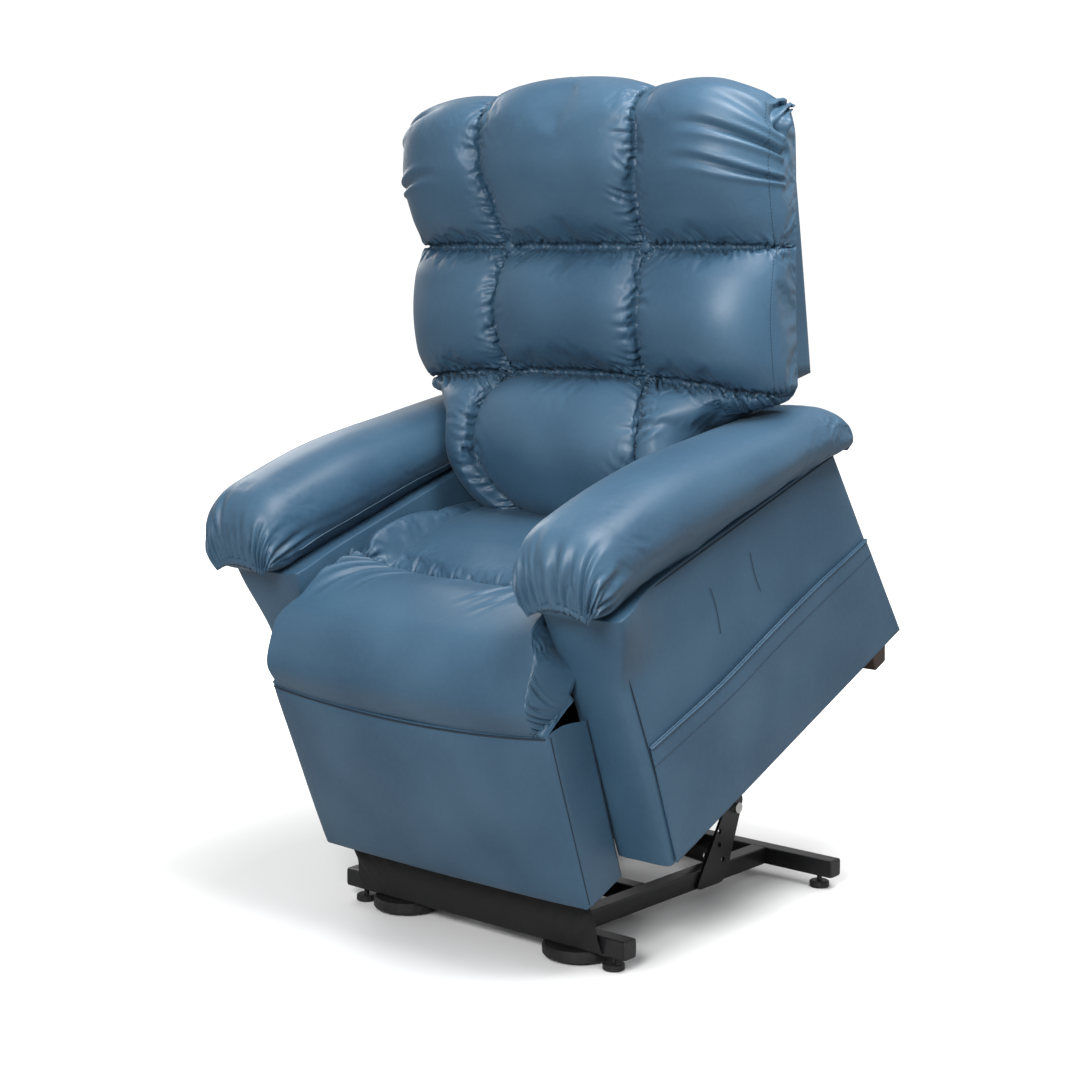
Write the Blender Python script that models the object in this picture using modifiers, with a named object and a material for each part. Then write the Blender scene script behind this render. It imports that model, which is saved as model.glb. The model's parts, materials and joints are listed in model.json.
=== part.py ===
"""Power lift recliner chair, standing in its raised position.

Metres, +Z up, the chair faces -Y.  The base lies flat on the floor.  The upholstered chair is
designed upright in its own frame (x across, v backwards, w up) and is tipped forward on the
lift arms.  The back is designed in upright axes, because it stands plumb when the chair is up.
"""
import math

import bmesh
import bpy
from mathutils import Matrix, Vector

# ---- driving dimensions ---------------------------------------------------------------------
SHIFT_Y = -0.2259          # puts the middle of the whole object on the origin
GAP = 0.0003               # clearance between pieces that touch
TILT = math.radians(23.5)  # forward tilt of the raised chair

TUBE = 0.035               # side of the square base tubes
WALL = 0.002
BAR_HALF = 0.345           # half length of the crossbars
BAR_Z = 0.0435             # height of the tube axes
REAR_BAR_Y = 0.654
MID_BAR_Y = 0.270
RAIL_X = 0.1725
FOOT_X = 0.310
KNOB_R = 0.020

TOWER_PIVOT = (0.522, 0.169)   # y, z of the lift arm hinge
LINK_PIVOT = (0.482, 0.071)    # y, z of the lower link hinge
CLEVIS_PIVOT = (0.600, 0.080)  # y, z of the lift motor hinge
LUG_SEATED = (0.300, 0.135)    # y, z of the torque tube when the chair is down
LIFT_TURN = math.radians(33.95)
TOWER_X = 0.1935
ARM_LEVER_X = 0.185
LINK_X = 0.150
SEAT_RAIL_X = 0.193
PIN_R = 0.006
HOLE_R = 0.0063

CHAIR_ORIGIN = (0.010, 0.209)  # y, z of the side panels' lower front corner, chair raised
CHAIR_PIVOT = (0.200, 0.0386)  # v, w
LINK_TOP = (0.050, 0.0405)     # v, w
BACK_PIVOT = (0.600, 0.330)    # v, w
RECLINE_PIVOT = (0.220, 0.085)  # v, w
BACK_TUBE = (0.690, 0.255)     # v, w
FOOTREST_AXIS = (-0.150, 0.440)  # v, w
FOOT_LINK_PIVOT = (0.045, 0.150)  # v, w
FOOT_LINK_JOINT = (-0.058, 0.003)  # v, w, where the two footrest links meet
FOOT_LINK_TOP = (-0.075, 0.270)  # v, w

ARM_IN = 0.315
ARM_OUT = 0.430
PANEL = 0.015
SEAT_HALF = 0.300
PAD_IN = 0.290
PAD_OUT = 0.485
BACK_HALF = 0.430
LUMBAR_HALF = 0.275
SHELL_LEAN = 0.1926        # how far the outer back moves forward for each metre up

LEATHER = (0.085, 0.150, 0.235)
BLACK = (0.012, 0.012, 0.013)
STEEL = (0.55, 0.55, 0.56)
TIMBER = (0.42, 0.29, 0.17)
WALNUT = (0.055, 0.028, 0.018)


def clear_scene():
    """Remove every object that the file opened with."""
    for item in list(bpy.data.objects):
        bpy.data.objects.remove(item, do_unlink=True)


clear_scene()
parts = bpy.data.collections.new("lift_recliner_chair")
bpy.context.scene.collection.children.link(parts)


def material(name, color, roughness, metallic=0.0):
    """One Principled material."""
    made = bpy.data.materials.new(name)
    made.use_nodes = True
    shader = made.node_tree.nodes["Principled BSDF"]
    shader.inputs["Base Color"].default_value = (*color, 1.0)
    shader.inputs["Roughness"].default_value = roughness
    shader.inputs["Metallic"].default_value = metallic
    return made


FINISHES = {
    "leather": (LEATHER, 0.42, 0.0),
    "black_paint": (BLACK, 0.40, 0.3),
    "black_plastic": (BLACK, 0.55, 0.0),
    "black_cloth": (BLACK, 0.95, 0.0),
    "bright_steel": (STEEL, 0.30, 1.0),
    "timber": (TIMBER, 0.70, 0.0),
    "walnut": (WALNUT, 0.45, 0.0),
}


class Frame:
    """An empty on a joint's axis; pieces are placed in the coordinates of that axis point."""

    def __init__(self, name, world, origin, turn=0.0):
        self.empty = bpy.data.objects.new(name, None)
        self.empty.location = (0.0, world[0] + SHIFT_Y, world[1])
        self.empty.rotation_euler = (turn, 0.0, 0.0)
        self.origin = Vector((0.0, origin[0], origin[1]))
        parts.objects.link(self.empty)


def chair_to_world(point):
    """Turn a (v, w) point of the raised chair into (y, z)."""
    v, w = point
    y = CHAIR_ORIGIN[0] + v * math.cos(TILT) - w * math.sin(TILT)
    z = CHAIR_ORIGIN[1] + v * math.sin(TILT) + w * math.cos(TILT)
    return (y, z)


def turned_about(point, centre, angle):
    """Turn a (y, z) point about a (y, z) centre."""
    y = point[0] - centre[0]
    z = point[1] - centre[1]
    return (centre[0] + y * math.cos(angle) - z * math.sin(angle),
            centre[1] + y * math.sin(angle) + z * math.cos(angle))


def chair_frame(name, pivot):
    """A frame on a point of the raised chair, tilted with it."""
    return Frame(name, chair_to_world(pivot), pivot, TILT)


LUG = turned_about(LUG_SEATED, TOWER_PIVOT, -LIFT_TURN)
BASE = Frame("base_frame", (0.0, 0.0), (0.0, 0.0))
LIFT = Frame("lift_axis", TOWER_PIVOT, TOWER_PIVOT)
LINKS = Frame("link_axis", LINK_PIVOT, LINK_PIVOT)
LIFT_MOTOR = Frame("lift_motor_axis", CLEVIS_PIVOT, CLEVIS_PIVOT)
CHAIR = chair_frame("chair_axis", CHAIR_PIVOT)
RECLINE = chair_frame("recline_motor_axis", RECLINE_PIVOT)
FOOTREST = chair_frame("footrest_axis", FOOTREST_AXIS)
FOOT_LOWER = chair_frame("footrest_lower_link_axis", FOOT_LINK_PIVOT)
FOOT_UPPER = chair_frame("footrest_upper_link_axis", FOOT_LINK_TOP)
BACK = Frame("back_axis", chair_to_world(BACK_PIVOT), chair_to_world(BACK_PIVOT))


def attach(item, frame, centre, finish):
    """Hang a piece on its frame and give it its own material."""
    item.parent = frame.empty
    item.location = Vector(centre) - frame.origin
    color, roughness, metallic = FINISHES[finish]
    item.data.materials.clear()
    item.data.materials.append(material(item.name + "_" + finish, color, roughness, metallic))
    for collection in list(item.users_collection):
        collection.objects.unlink(item)
    parts.objects.link(item)
    return item


def soften(item, width, segments=2):
    """Round the edges of a piece."""
    bevel = item.modifiers.new("Bevel", "BEVEL")
    bevel.width = width
    bevel.segments = segments
    bevel.limit_method = "ANGLE"
    return item


def block(name, size, centre, frame, finish, edge=0.0, segments=2):
    """A box of the given size with softened edges."""
    bpy.ops.mesh.primitive_cube_add(size=1.0)
    item = bpy.context.active_object
    item.name = name
    item.data.transform(Matrix.Diagonal((*size, 1.0)))
    if edge > 0.0:
        soften(item, edge, segments)
    return attach(item, frame, centre, finish)


def ring(centre, radius, count):
    """Points of a circle."""
    turns = [2.0 * math.pi * step / count for step in range(count)]
    return [(centre[0] + radius * math.cos(a), centre[1] + radius * math.sin(a)) for a in turns]


def strap(centres, radius, steps=7):
    """Outline round a few points, given counter-clockwise, at one radius."""
    outline = []
    count = len(centres)
    for index, centre in enumerate(centres):
        before = centres[index - 1]
        after = centres[(index + 1) % count]
        start = math.atan2(-(centre[0] - before[0]), centre[1] - before[1])
        end = math.atan2(-(after[0] - centre[0]), after[1] - centre[1])
        sweep = (end - start) % (2.0 * math.pi)
        for step in range(steps + 1):
            angle = start + sweep * step / steps
            outline.append((centre[0] + radius * math.cos(angle),
                            centre[1] + radius * math.sin(angle)))
    return outline


def rounded(corners, radius, steps=3):
    """A polygon with each corner eased by a quadratic curve."""
    outline = []
    count = len(corners)
    for index, corner in enumerate(corners):
        here = Vector(corner)
        back = Vector(corners[index - 1]) - here
        ahead = Vector(corners[(index + 1) % count]) - here
        reach = min(radius, back.length * 0.45, ahead.length * 0.45)
        start = here + back.normalized() * reach
        end = here + ahead.normalized() * reach
        for step in range(steps + 1):
            t = step / steps
            outline.append(tuple(start * (1 - t) ** 2 + here * 2 * t * (1 - t) + end * t ** 2))
    return outline


def flat(name, outline, holes, thickness):
    """A flat outline with holes, extruded through its thickness."""
    data = bpy.data.curves.new(name, "CURVE")
    data.dimensions = "2D"
    data.fill_mode = "BOTH"
    data.extrude = thickness / 2.0
    for points in [outline] + list(holes):
        spline = data.splines.new("POLY")
        spline.points.add(len(points) - 1)
        for point, place in zip(spline.points, points):
            point.co = (place[0], place[1], 0.0, 1.0)
        spline.use_cyclic_u = True
    return bpy.data.objects.new(name, data)


def plate(name, outline, holes, thickness, x, frame, finish):
    """A plate that stands across the chair: its outline is in the side view."""
    shift = frame.origin
    moved = [(p[0] - shift.y, p[1] - shift.z) for p in outline]
    bores = [[(p[0] - shift.y, p[1] - shift.z) for p in hole] for hole in holes]
    item = flat(name, moved, bores, thickness)
    item.rotation_euler = (math.pi / 2.0, 0.0, math.pi / 2.0)
    return attach(item, frame, (x, shift.y, shift.z), finish)


def square_tube(name, length, centre, along_x, finish):
    """An open ended square tube of the base."""
    half = TUBE / 2.0
    inner = half - WALL
    outside = rounded([(-half, -half), (half, -half), (half, half), (-half, half)], 0.004)
    inside = [(-inner, -inner), (inner, -inner), (inner, inner), (-inner, inner)]
    item = flat(name, outside, [inside], length)
    if along_x:
        item.rotation_euler = (math.pi / 2.0, 0.0, math.pi / 2.0)
    else:
        item.rotation_euler = (math.pi / 2.0, 0.0, 0.0)
    return attach(item, BASE, centre, finish)


def turned(name, profile, centre, frame, finish, rotation=(0.0, 0.0, 0.0), steps=20):
    """A turned piece: its profile (radius, height) runs down its outer side."""
    mesh = bpy.data.meshes.new(name)
    verts = [(radius, 0.0, height) for radius, height in profile]
    edges = [(index, index + 1) for index in range(len(profile) - 1)]
    mesh.from_pydata(verts, edges, [])
    item = bpy.data.objects.new(name, mesh)
    screw = item.modifiers.new("Screw", "SCREW")
    screw.steps = steps
    screw.render_steps = steps
    screw.use_merge_vertices = True
    screw.merge_threshold = 0.00001
    item.rotation_euler = rotation
    return attach(item, frame, centre, finish)


def loft(name, sections, centre, frame, finish):
    """A closed skin over a row of like sections, each a ring of points."""
    mesh = bpy.data.meshes.new(name)
    builder = bmesh.new()
    rows = [[builder.verts.new(point) for point in section] for section in sections]
    count = len(rows[0])
    for near, far in zip(rows[:-1], rows[1:]):
        for index in range(count):
            after = (index + 1) % count
            builder.faces.new((near[index], near[after], far[after], far[index]))
    builder.faces.new(rows[0])
    builder.faces.new(rows[-1])
    bmesh.ops.recalc_face_normals(builder, faces=builder.faces)
    builder.to_mesh(mesh)
    builder.free()
    return attach(bpy.data.objects.new(name, mesh), frame, centre, finish)


def both_sides(name, make):
    """Make a left piece at +X and a right piece at -X, as the sitter sees them."""
    for side, word in ((1.0, "left"), (-1.0, "right")):
        make(name + "_" + word, side)


# ---- base -----------------------------------------------------------------------------------
def base_tubes():
    """Two long crossbars, two side rails and a short bar between the rails."""
    square_tube("front_crossbar", 2 * BAR_HALF, (0.0, 0.0, BAR_Z), True, "black_paint")
    square_tube("rear_crossbar", 2 * BAR_HALF, (0.0, REAR_BAR_Y, BAR_Z), True, "black_paint")
    rail_length = REAR_BAR_Y - TUBE - 2 * GAP

    def rail(name, side):
        square_tube(name, rail_length, (side * RAIL_X, REAR_BAR_Y / 2, BAR_Z), False, "black_paint")

    both_sides("side_rail", rail)
    mid_length = 2 * (RAIL_X - TUBE / 2 - GAP)
    square_tube("mid_crossbar", mid_length, (0.0, MID_BAR_Y, BAR_Z), True, "black_paint")


def towers():
    """Upright plates on the rails that carry the lift arms and the lower links."""
    corners = [(0.394, 0.0262), (0.490, 0.0262), (0.552, 0.190), (0.508, 0.202)]
    outline = rounded(corners, 0.020, 4)
    bores = [ring(TOWER_PIVOT, HOLE_R, 16), ring(LINK_PIVOT, HOLE_R, 16),
             ring((0.470, 0.103), 0.006, 12), ring((0.470, 0.130), 0.006, 12)]

    def tower(name, side):
        plate(name, outline, bores, 0.006, side * TOWER_X, BASE, "black_paint")

    both_sides("tower_plate", tower)


def tower_bolts():
    """Shouldered bolt through each tower plate and lift arm."""
    profile = [(0.0, 0.2060), (0.011, 0.2060), (0.011, 0.1968), (PIN_R, 0.1968),
               (PIN_R, 0.1807), (0.010, 0.1807), (0.010, 0.1737), (0.0, 0.1737)]

    def bolt(name, side):
        turned(name, profile, (0.0, *TOWER_PIVOT), BASE, "bright_steel",
               (0.0, side * math.pi / 2.0, 0.0), 16)

    both_sides("tower_bolt", bolt)


def levelling_feet():
    """Knobs with a stem under the ends of both crossbars."""
    top = BAR_Z - TUBE / 2 - GAP
    profile = [(0.0, top), (0.005, top), (0.005, 0.013), (KNOB_R - 0.003, 0.013),
               (KNOB_R, 0.011), (KNOB_R, 0.002), (KNOB_R - 0.002, 0.0), (0.0, 0.0)]
    for row, y in (("front", 0.0), ("rear", REAR_BAR_Y)):
        def foot(name, side, place=y):
            turned(name, profile, (side * FOOT_X, place, 0.0), BASE, "black_plastic", steps=16)

        both_sides(row + "_foot", foot)


def glide_discs():
    """Flat round pads under the front crossbar."""
    top = BAR_Z - TUBE / 2 - GAP
    profile = [(0.0, top), (0.064, top), (0.068, top - 0.004), (0.068, 0.008), (0.064, 0.004),
               (0.0, 0.004)]

    def disc(name, side):
        turned(name, profile, (side * 0.215, 0.020, 0.0), BASE, "black_plastic", steps=28)

    both_sides("glide_disc", disc)


def power_supply():
    """Transformer box that lies between the rails, behind the front crossbar."""
    block("power_supply", (0.130, 0.150, 0.036), (0.0, 0.150, 0.046), BASE, "black_plastic",
          0.006)


def motor_clevis():
    """U-shaped bracket on the front face of the rear crossbar."""
    face = REAR_BAR_Y - TUBE / 2 - GAP
    outline = [(-0.019, face), (-0.019, 0.583), (-0.013, 0.583), (-0.013, face - 0.006),
               (0.013, face - 0.006), (0.013, 0.583), (0.019, 0.583), (0.019, face)]
    item = flat("motor_clevis", outline, [], 0.066)
    attach(item, BASE, (0.0, 0.0, 0.063), "black_paint")


def front_skirt():
    """Cloth panel from the front crossbar up to the underside of the footrest."""
    outline = [(-0.0185, 0.028), (-0.0475, 0.165), (-0.0505, 0.165), (-0.0215, 0.028)]
    plate("front_skirt", outline, [], 0.600, 0.0, BASE, "black_cloth")


# ---- lift mechanism -------------------------------------------------------------------------
def lift_arms():
    """Levers from the towers up to the chair, joined by the torque tube."""
    top = chair_to_world(CHAIR_PIVOT)
    outline = strap([TOWER_PIVOT, top], 0.018)
    bores = [ring(TOWER_PIVOT, HOLE_R, 16), ring(top, HOLE_R, 16)]

    def lever(name, side):
        plate(name, outline, bores, 0.008, side * ARM_LEVER_X, LIFT, "black_paint")

    both_sides("lift_arm", lever)
    half = ARM_LEVER_X - 0.004 - GAP
    plate("torque_tube", ring(LUG, 0.0125, 20), [ring(LUG, 0.0100, 20)], 2 * half, 0.0, LIFT,
          "black_paint")


def lower_links():
    """Long straps from the foot of each tower to the front of the seat frame."""
    top = chair_to_world(LINK_TOP)
    outline = strap([LINK_PIVOT, top], 0.014)
    bores = [ring(LINK_PIVOT, HOLE_R, 16), ring(top, HOLE_R, 16)]

    def link(name, side):
        plate(name, outline, bores, 0.006, side * LINK_X, LINKS, "black_paint")

    both_sides("lower_link", link)


def actuator(name, start, end, gearbox, sleeve, rod_back, frame, finish):
    """A linear motor and its rod, lying along the line from start to end."""
    run = Vector((0.0, end[0] - start[0], end[1] - start[1]))
    turn = Vector((0.0, 0.0, 1.0)).rotation_difference(run).to_euler()
    rod_end = run.length - 0.0170
    body = [(0.0, 0.050), (0.0105, 0.050), (0.0105, sleeve), (0.022, sleeve), (0.022, gearbox),
            (0.031, gearbox), (0.031, 0.035), (0.011, 0.035), (0.011, -0.012), (0.0, -0.012)]
    rod = [(0.0, rod_end), (0.0100, rod_end), (0.0100, rod_back), (0.0, rod_back)]
    turned(name + "_motor", body, (0.0, *start), frame, finish, turn, 20)
    turned(name + "_rod", rod, (0.0, *start), frame, "bright_steel", turn, 16)


# ---- chair frame ----------------------------------------------------------------------------
def seat_rails():
    """Steel side plates with the lift bracket in front and the back hinge at the rear."""
    corners = [(0.020, 0.015), (0.240, 0.015), (0.300, 0.145), (0.7347, 0.145),
               (0.7347, 0.200), (0.645, 0.200), (0.630, 0.358), (0.570, 0.358),
               (0.555, 0.200), (0.020, 0.200)]
    outline = rounded(corners, 0.012, 2)
    bores = [ring(spot, HOLE_R, 16) for spot in (CHAIR_PIVOT, LINK_TOP, BACK_PIVOT)]

    def rail(name, side):
        plate(name, outline, bores, 0.005, side * SEAT_RAIL_X, CHAIR, "black_paint")

    both_sides("seat_rail", rail)


def seat_frame():
    """Timber rails across the seat, and the sprung deck between them."""
    block("front_rail", (0.600, 0.040, 0.0617), (0.0, 0.025, 0.23115), CHAIR, "timber", 0.003, 1)
    block("rear_rail", (0.600, 0.020, 0.180), (0.0, 0.745, 0.150), CHAIR, "timber", 0.003, 1)
    block("seat_deck", (0.600, 0.4544, 0.0147), (0.0, 0.2725, 0.20765), CHAIR, "black_cloth",
          0.003, 1)


def side_height(v):
    """Height of the top edge of the side panels."""
    return 0.4868 - 0.0862 * v


def arm_panels():
    """Outer, inner, front and rear walls of each arm box."""
    outer = rounded([(0.0, 0.0), (0.787, 0.0), (0.705, 0.426), (0.009, 0.486)], 0.004, 1)
    inner = rounded([(0.0, 0.0), (0.787, 0.0), (0.705, 0.440), (0.009, 0.495)], 0.004, 1)
    front = rounded([(0.0, 0.0), (0.014, 0.0), (0.023, 0.478), (0.009, 0.479)], 0.002, 1)
    rear = rounded([(0.767, 0.0), (0.785, 0.0), (0.705, 0.415), (0.687, 0.415)], 0.002, 1)
    middle = (ARM_IN + ARM_OUT) / 2
    width = ARM_OUT - ARM_IN - 2 * PANEL - 2 * GAP

    def outer_panel(name, side):
        plate(name, outer, [], PANEL, side * (ARM_OUT - PANEL / 2), CHAIR, "leather")

    def inner_panel(name, side):
        plate(name, inner, [], PANEL, side * (ARM_IN + PANEL / 2), CHAIR, "leather")

    def front_panel(name, side):
        plate(name, front, [], width, side * middle, CHAIR, "leather")

    def rear_panel(name, side):
        plate(name, rear, [], width, side * middle, CHAIR, "leather")

    both_sides("arm_outer_panel", outer_panel)
    both_sides("arm_inner_panel", inner_panel)
    both_sides("arm_front_panel", front_panel)
    both_sides("arm_rear_panel", rear_panel)


def arm_pads():
    """Stuffed rolls over the arms: oval sections, thick in front and thin behind."""
    stations = [(-0.058, 0.45), (-0.048, 0.72), (-0.020, 0.95), (0.030, 1.0), (0.200, 1.0),
                (0.400, 1.0), (0.600, 1.0), (0.740, 1.0), (0.795, 0.86), (0.818, 0.45)]
    middle = (PAD_IN + PAD_OUT) / 2
    half_width = (PAD_OUT - PAD_IN) / 2

    def pad(name, side):
        sections = []
        for v, fullness in stations:
            low = side_height(v) + 0.008
            crest = 0.668 - 0.02 * max(v, 0.0) - 0.245 * max(v - 0.22, 0.0)
            centre = (low + crest) / 2
            half_height = (crest - low) / 2
            section = []
            for x, z in ring((0.0, 0.0), 1.0, 18):
                section.append((half_width * fullness * x, v, centre + half_height * fullness * z))
            sections.append(section)
        origin = CHAIR.origin
        moved = [[(x, y - origin.y, z - origin.z) for x, y, z in row] for row in sections]
        loft(name, moved, (side * middle, origin.y, origin.z), CHAIR, "leather")

    both_sides("arm_pad", pad)


def seat_cushions():
    """Seat cushion and the chaise pad that rolls over the front of the seat."""
    seat = [(0.1000, 0.2155), (0.5000, 0.2155), (0.5000, 0.4120), (0.3400, 0.4350),
            (0.2000, 0.4400), (0.1000, 0.4250)]
    plate("seat_cushion", rounded(seat, 0.030, 3), [], 2 * SEAT_HALF, 0.0, CHAIR, "leather")
    roll = [(0.0995, 0.285), (0.0995, 0.425), (0.060, 0.447), (0.000, 0.440), (-0.050, 0.412),
            (-0.082, 0.360), (-0.082, 0.325), (-0.050, 0.285)]
    plate("chaise_pad", rounded(roll, 0.015, 2), [], 2 * SEAT_HALF, 0.0, CHAIR, "leather")


def rear_legs():
    """Tapered timber legs under the rear corners of the arms."""
    def leg(name, side):
        bpy.ops.mesh.primitive_cone_add(vertices=4, radius1=0.027, radius2=0.040, depth=0.0657)
        item = bpy.context.active_object
        item.name = name
        item.data.transform(Matrix.Rotation(math.pi / 4, 4, "Z"))
        soften(item, 0.003)
        attach(item, CHAIR, (side * 0.378, 0.752, -0.03315), "walnut")

    both_sides("rear_leg", leg)


# ---- back -----------------------------------------------------------------------------------
def shell_y(z):
    """Depth of the outer face of the back at a height."""
    return 0.435 + (1.443 - z) * SHELL_LEAN


def back_frame():
    """Outer back, two posts that reach down to the hinge, and the tube between their feet."""
    low, shoulder, high = 0.800, 1.025, 1.500
    lean = math.atan(SHELL_LEAN)
    stretch = 1.0 / math.cos(lean)
    mid = (low + high) / 2
    wide = 0.375
    outline = [(-LUMBAR_HALF, low), (LUMBAR_HALF, low), (LUMBAR_HALF, shoulder),
               (wide, shoulder), (wide, high), (-wide, high), (-wide, shoulder),
               (-LUMBAR_HALF, shoulder)]
    leaning = [(x, (z - mid) * stretch) for x, z in outline]
    item = flat("back_shell", rounded(leaning, 0.020, 2), [], 0.012)
    item.rotation_euler = (math.pi / 2.0 + lean, 0.0, 0.0)
    attach(item, BACK, (0.0, shell_y(mid) - 0.0065, mid), "leather")

    hinge = chair_to_world(BACK_PIVOT)
    corners = [(shell_y(0.720) - 0.014, 0.705), (shell_y(1.480) - 0.014, 1.480),
               (shell_y(1.480) - 0.046, 1.480), (shell_y(0.860) - 0.046, 0.860),
               (hinge[0] - 0.022, hinge[1] + 0.022), (hinge[0] - 0.022, hinge[1] - 0.022),
               (hinge[0] + 0.030, hinge[1] - 0.030)]
    foot = chair_to_world(BACK_TUBE)
    outline = rounded(corners, 0.014, 2)
    bores = [ring(hinge, HOLE_R, 16)]

    def post(name, side):
        plate(name, outline, bores, 0.030, side * 0.1715, BACK, "timber")

    both_sides("back_post", post)
    plate("back_tube", ring(foot, 0.0125, 20), [ring(foot, 0.0100, 20)], 2 * 0.1562, 0.0, BACK,
          "black_paint")


def back_pads():
    """Three rows of stuffed back cushion, one above the other."""
    rows = (("back_pad_upper", BACK_HALF, 0.182, 0.350, 1.274, 1.570, 0.050),
            ("back_pad_middle", BACK_HALF, 0.195, 0.404, 1.032, 1.266, 0.045),
            ("back_pad_lumbar", LUMBAR_HALF, 0.185, 0.450, 0.802, 1.018, 0.040))
    for name, half, front, rear, low, high, edge in rows:
        size = (2 * half, rear - front, high - low)
        centre = (0.0, (front + rear) / 2, (low + high) / 2)
        block(name, size, centre, BACK, "leather", edge, 3)


# ---- footrest -------------------------------------------------------------------------------
def footrest():
    """Board and padded front, with a pair of folding links on each side."""
    block("footrest_board", (0.600, 0.015, 0.290), (0.0, -0.0975, 0.145), FOOTREST, "timber",
          0.003, 1)
    block("footrest_pad", (0.630, 0.030, 0.318), (0.0, -0.1203, 0.141), FOOTREST, "leather",
          0.010, 2)
    lower = strap([FOOT_LINK_PIVOT, FOOT_LINK_JOINT], 0.011, 5)
    upper = strap([FOOT_LINK_TOP, FOOT_LINK_JOINT], 0.011, 5)
    lower_bores = [ring(FOOT_LINK_PIVOT, 0.004, 12), ring(FOOT_LINK_JOINT, 0.004, 12)]
    upper_bores = [ring(FOOT_LINK_TOP, 0.004, 12), ring(FOOT_LINK_JOINT, 0.004, 12)]

    def lower_link(name, side):
        plate(name, lower, lower_bores, 0.005, side * 0.262, FOOT_LOWER, "black_paint")

    def upper_link(name, side):
        plate(name, upper, upper_bores, 0.005, side * 0.270, FOOT_UPPER, "black_paint")

    both_sides("footrest_lower_link", lower_link)
    both_sides("footrest_upper_link", upper_link)


def build():
    """Make every piece of the chair."""
    base_tubes()
    towers()
    tower_bolts()
    levelling_feet()
    glide_discs()
    power_supply()
    motor_clevis()
    front_skirt()
    lift_arms()
    lower_links()
    actuator("lift", CLEVIS_PIVOT, LUG, 0.130, 0.215, 0.110, LIFT_MOTOR, "black_plastic")
    seat_rails()
    seat_frame()
    arm_panels()
    arm_pads()
    seat_cushions()
    rear_legs()
    actuator("recline", RECLINE_PIVOT, BACK_TUBE, 0.130, 0.240, 0.165, RECLINE, "black_plastic")
    back_frame()
    back_pads()
    footrest()


build()
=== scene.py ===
# %% [markdown]
# A power lift recliner: an armchair in blue leather on a black steel base, standing in its raised
# position.  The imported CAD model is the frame.  Steel and plastic parts keep their CAD shape and
# only get a finish here, and everything that is upholstered is made again as a stuffed cover.

# %% Load the frame
import json
import math

import bpy
import numpy as np
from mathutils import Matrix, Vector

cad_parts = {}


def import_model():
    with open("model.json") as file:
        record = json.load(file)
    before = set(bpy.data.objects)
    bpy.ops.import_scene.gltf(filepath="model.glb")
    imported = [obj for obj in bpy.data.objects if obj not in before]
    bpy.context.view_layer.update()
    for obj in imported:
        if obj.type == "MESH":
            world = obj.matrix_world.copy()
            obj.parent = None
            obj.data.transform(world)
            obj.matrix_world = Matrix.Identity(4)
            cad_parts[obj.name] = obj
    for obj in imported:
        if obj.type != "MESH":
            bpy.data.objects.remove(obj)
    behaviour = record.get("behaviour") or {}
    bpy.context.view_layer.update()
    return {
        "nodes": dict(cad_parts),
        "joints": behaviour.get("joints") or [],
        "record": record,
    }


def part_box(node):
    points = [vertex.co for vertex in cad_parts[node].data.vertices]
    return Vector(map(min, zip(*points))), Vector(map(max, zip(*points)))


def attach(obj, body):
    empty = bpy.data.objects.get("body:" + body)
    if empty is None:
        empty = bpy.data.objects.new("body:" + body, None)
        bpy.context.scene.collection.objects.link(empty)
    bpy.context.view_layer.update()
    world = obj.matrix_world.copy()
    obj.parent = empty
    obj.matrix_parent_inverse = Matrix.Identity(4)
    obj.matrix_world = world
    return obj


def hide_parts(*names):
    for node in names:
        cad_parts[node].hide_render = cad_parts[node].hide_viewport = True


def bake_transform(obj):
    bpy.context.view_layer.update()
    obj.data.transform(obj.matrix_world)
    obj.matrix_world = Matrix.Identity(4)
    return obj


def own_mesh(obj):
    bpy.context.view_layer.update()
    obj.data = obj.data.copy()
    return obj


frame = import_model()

NODES = frame["nodes"]
JOINTS = {joint["name"]: joint for joint in frame["joints"]}

# %% [markdown]
# Two sets of coordinates are used.  World coordinates are x, y, z in metres, and y is measured
# from the front crossbar, because the chair was drawn from there.  The seat and arms are tipped
# forward, so they are drawn in the chair's own coordinates: x across, v backwards along the floor
# of the arm box and w at right angles to it.

# %% Coordinates
TILT = math.radians(23.5)
SHIFT = float(sum(corner[1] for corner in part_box("front_crossbar")) / 2)
CHAIR_PIVOT = (0.200, 0.0386)
_pivot = JOINTS["chair_tilt"]["pos_m"]
ORIGIN_Y = _pivot[1] - CHAIR_PIVOT[0] * math.cos(TILT) + CHAIR_PIVOT[1] * math.sin(TILT)
ORIGIN_Z = _pivot[2] - CHAIR_PIVOT[0] * math.sin(TILT) - CHAIR_PIVOT[1] * math.cos(TILT)


def world(x, y, z):
    """Points from x, y before the shift and z."""
    x, y, z = np.broadcast_arrays(x, y, z)
    return np.stack([x, y + SHIFT, z], axis=-1).astype(float)


def chair(x, v, w):
    """Points from the chair's own coordinates: turn (v, w) by the tilt, then add the origin."""
    x, v, w = np.broadcast_arrays(x, v, w)
    y = ORIGIN_Y + v * math.cos(TILT) - w * math.sin(TILT)
    z = ORIGIN_Z + v * math.sin(TILT) + w * math.cos(TILT)
    return np.stack([x, y, z], axis=-1).astype(float)


def smooth(t):
    """An eased step: 0 below 0, 1 above 1, and 3 t squared less 2 t cubed between."""
    t = np.clip(t, 0.0, 1.0)
    return t * t * (3.0 - 2.0 * t)


print("chair origin", round(ORIGIN_Y, 4), round(ORIGIN_Z, 4))

# %% [markdown]
# The camera stands a little above the seat, four metres away to the sitter's left, with a long
# lens, so that upright edges stay nearly parallel.

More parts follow.
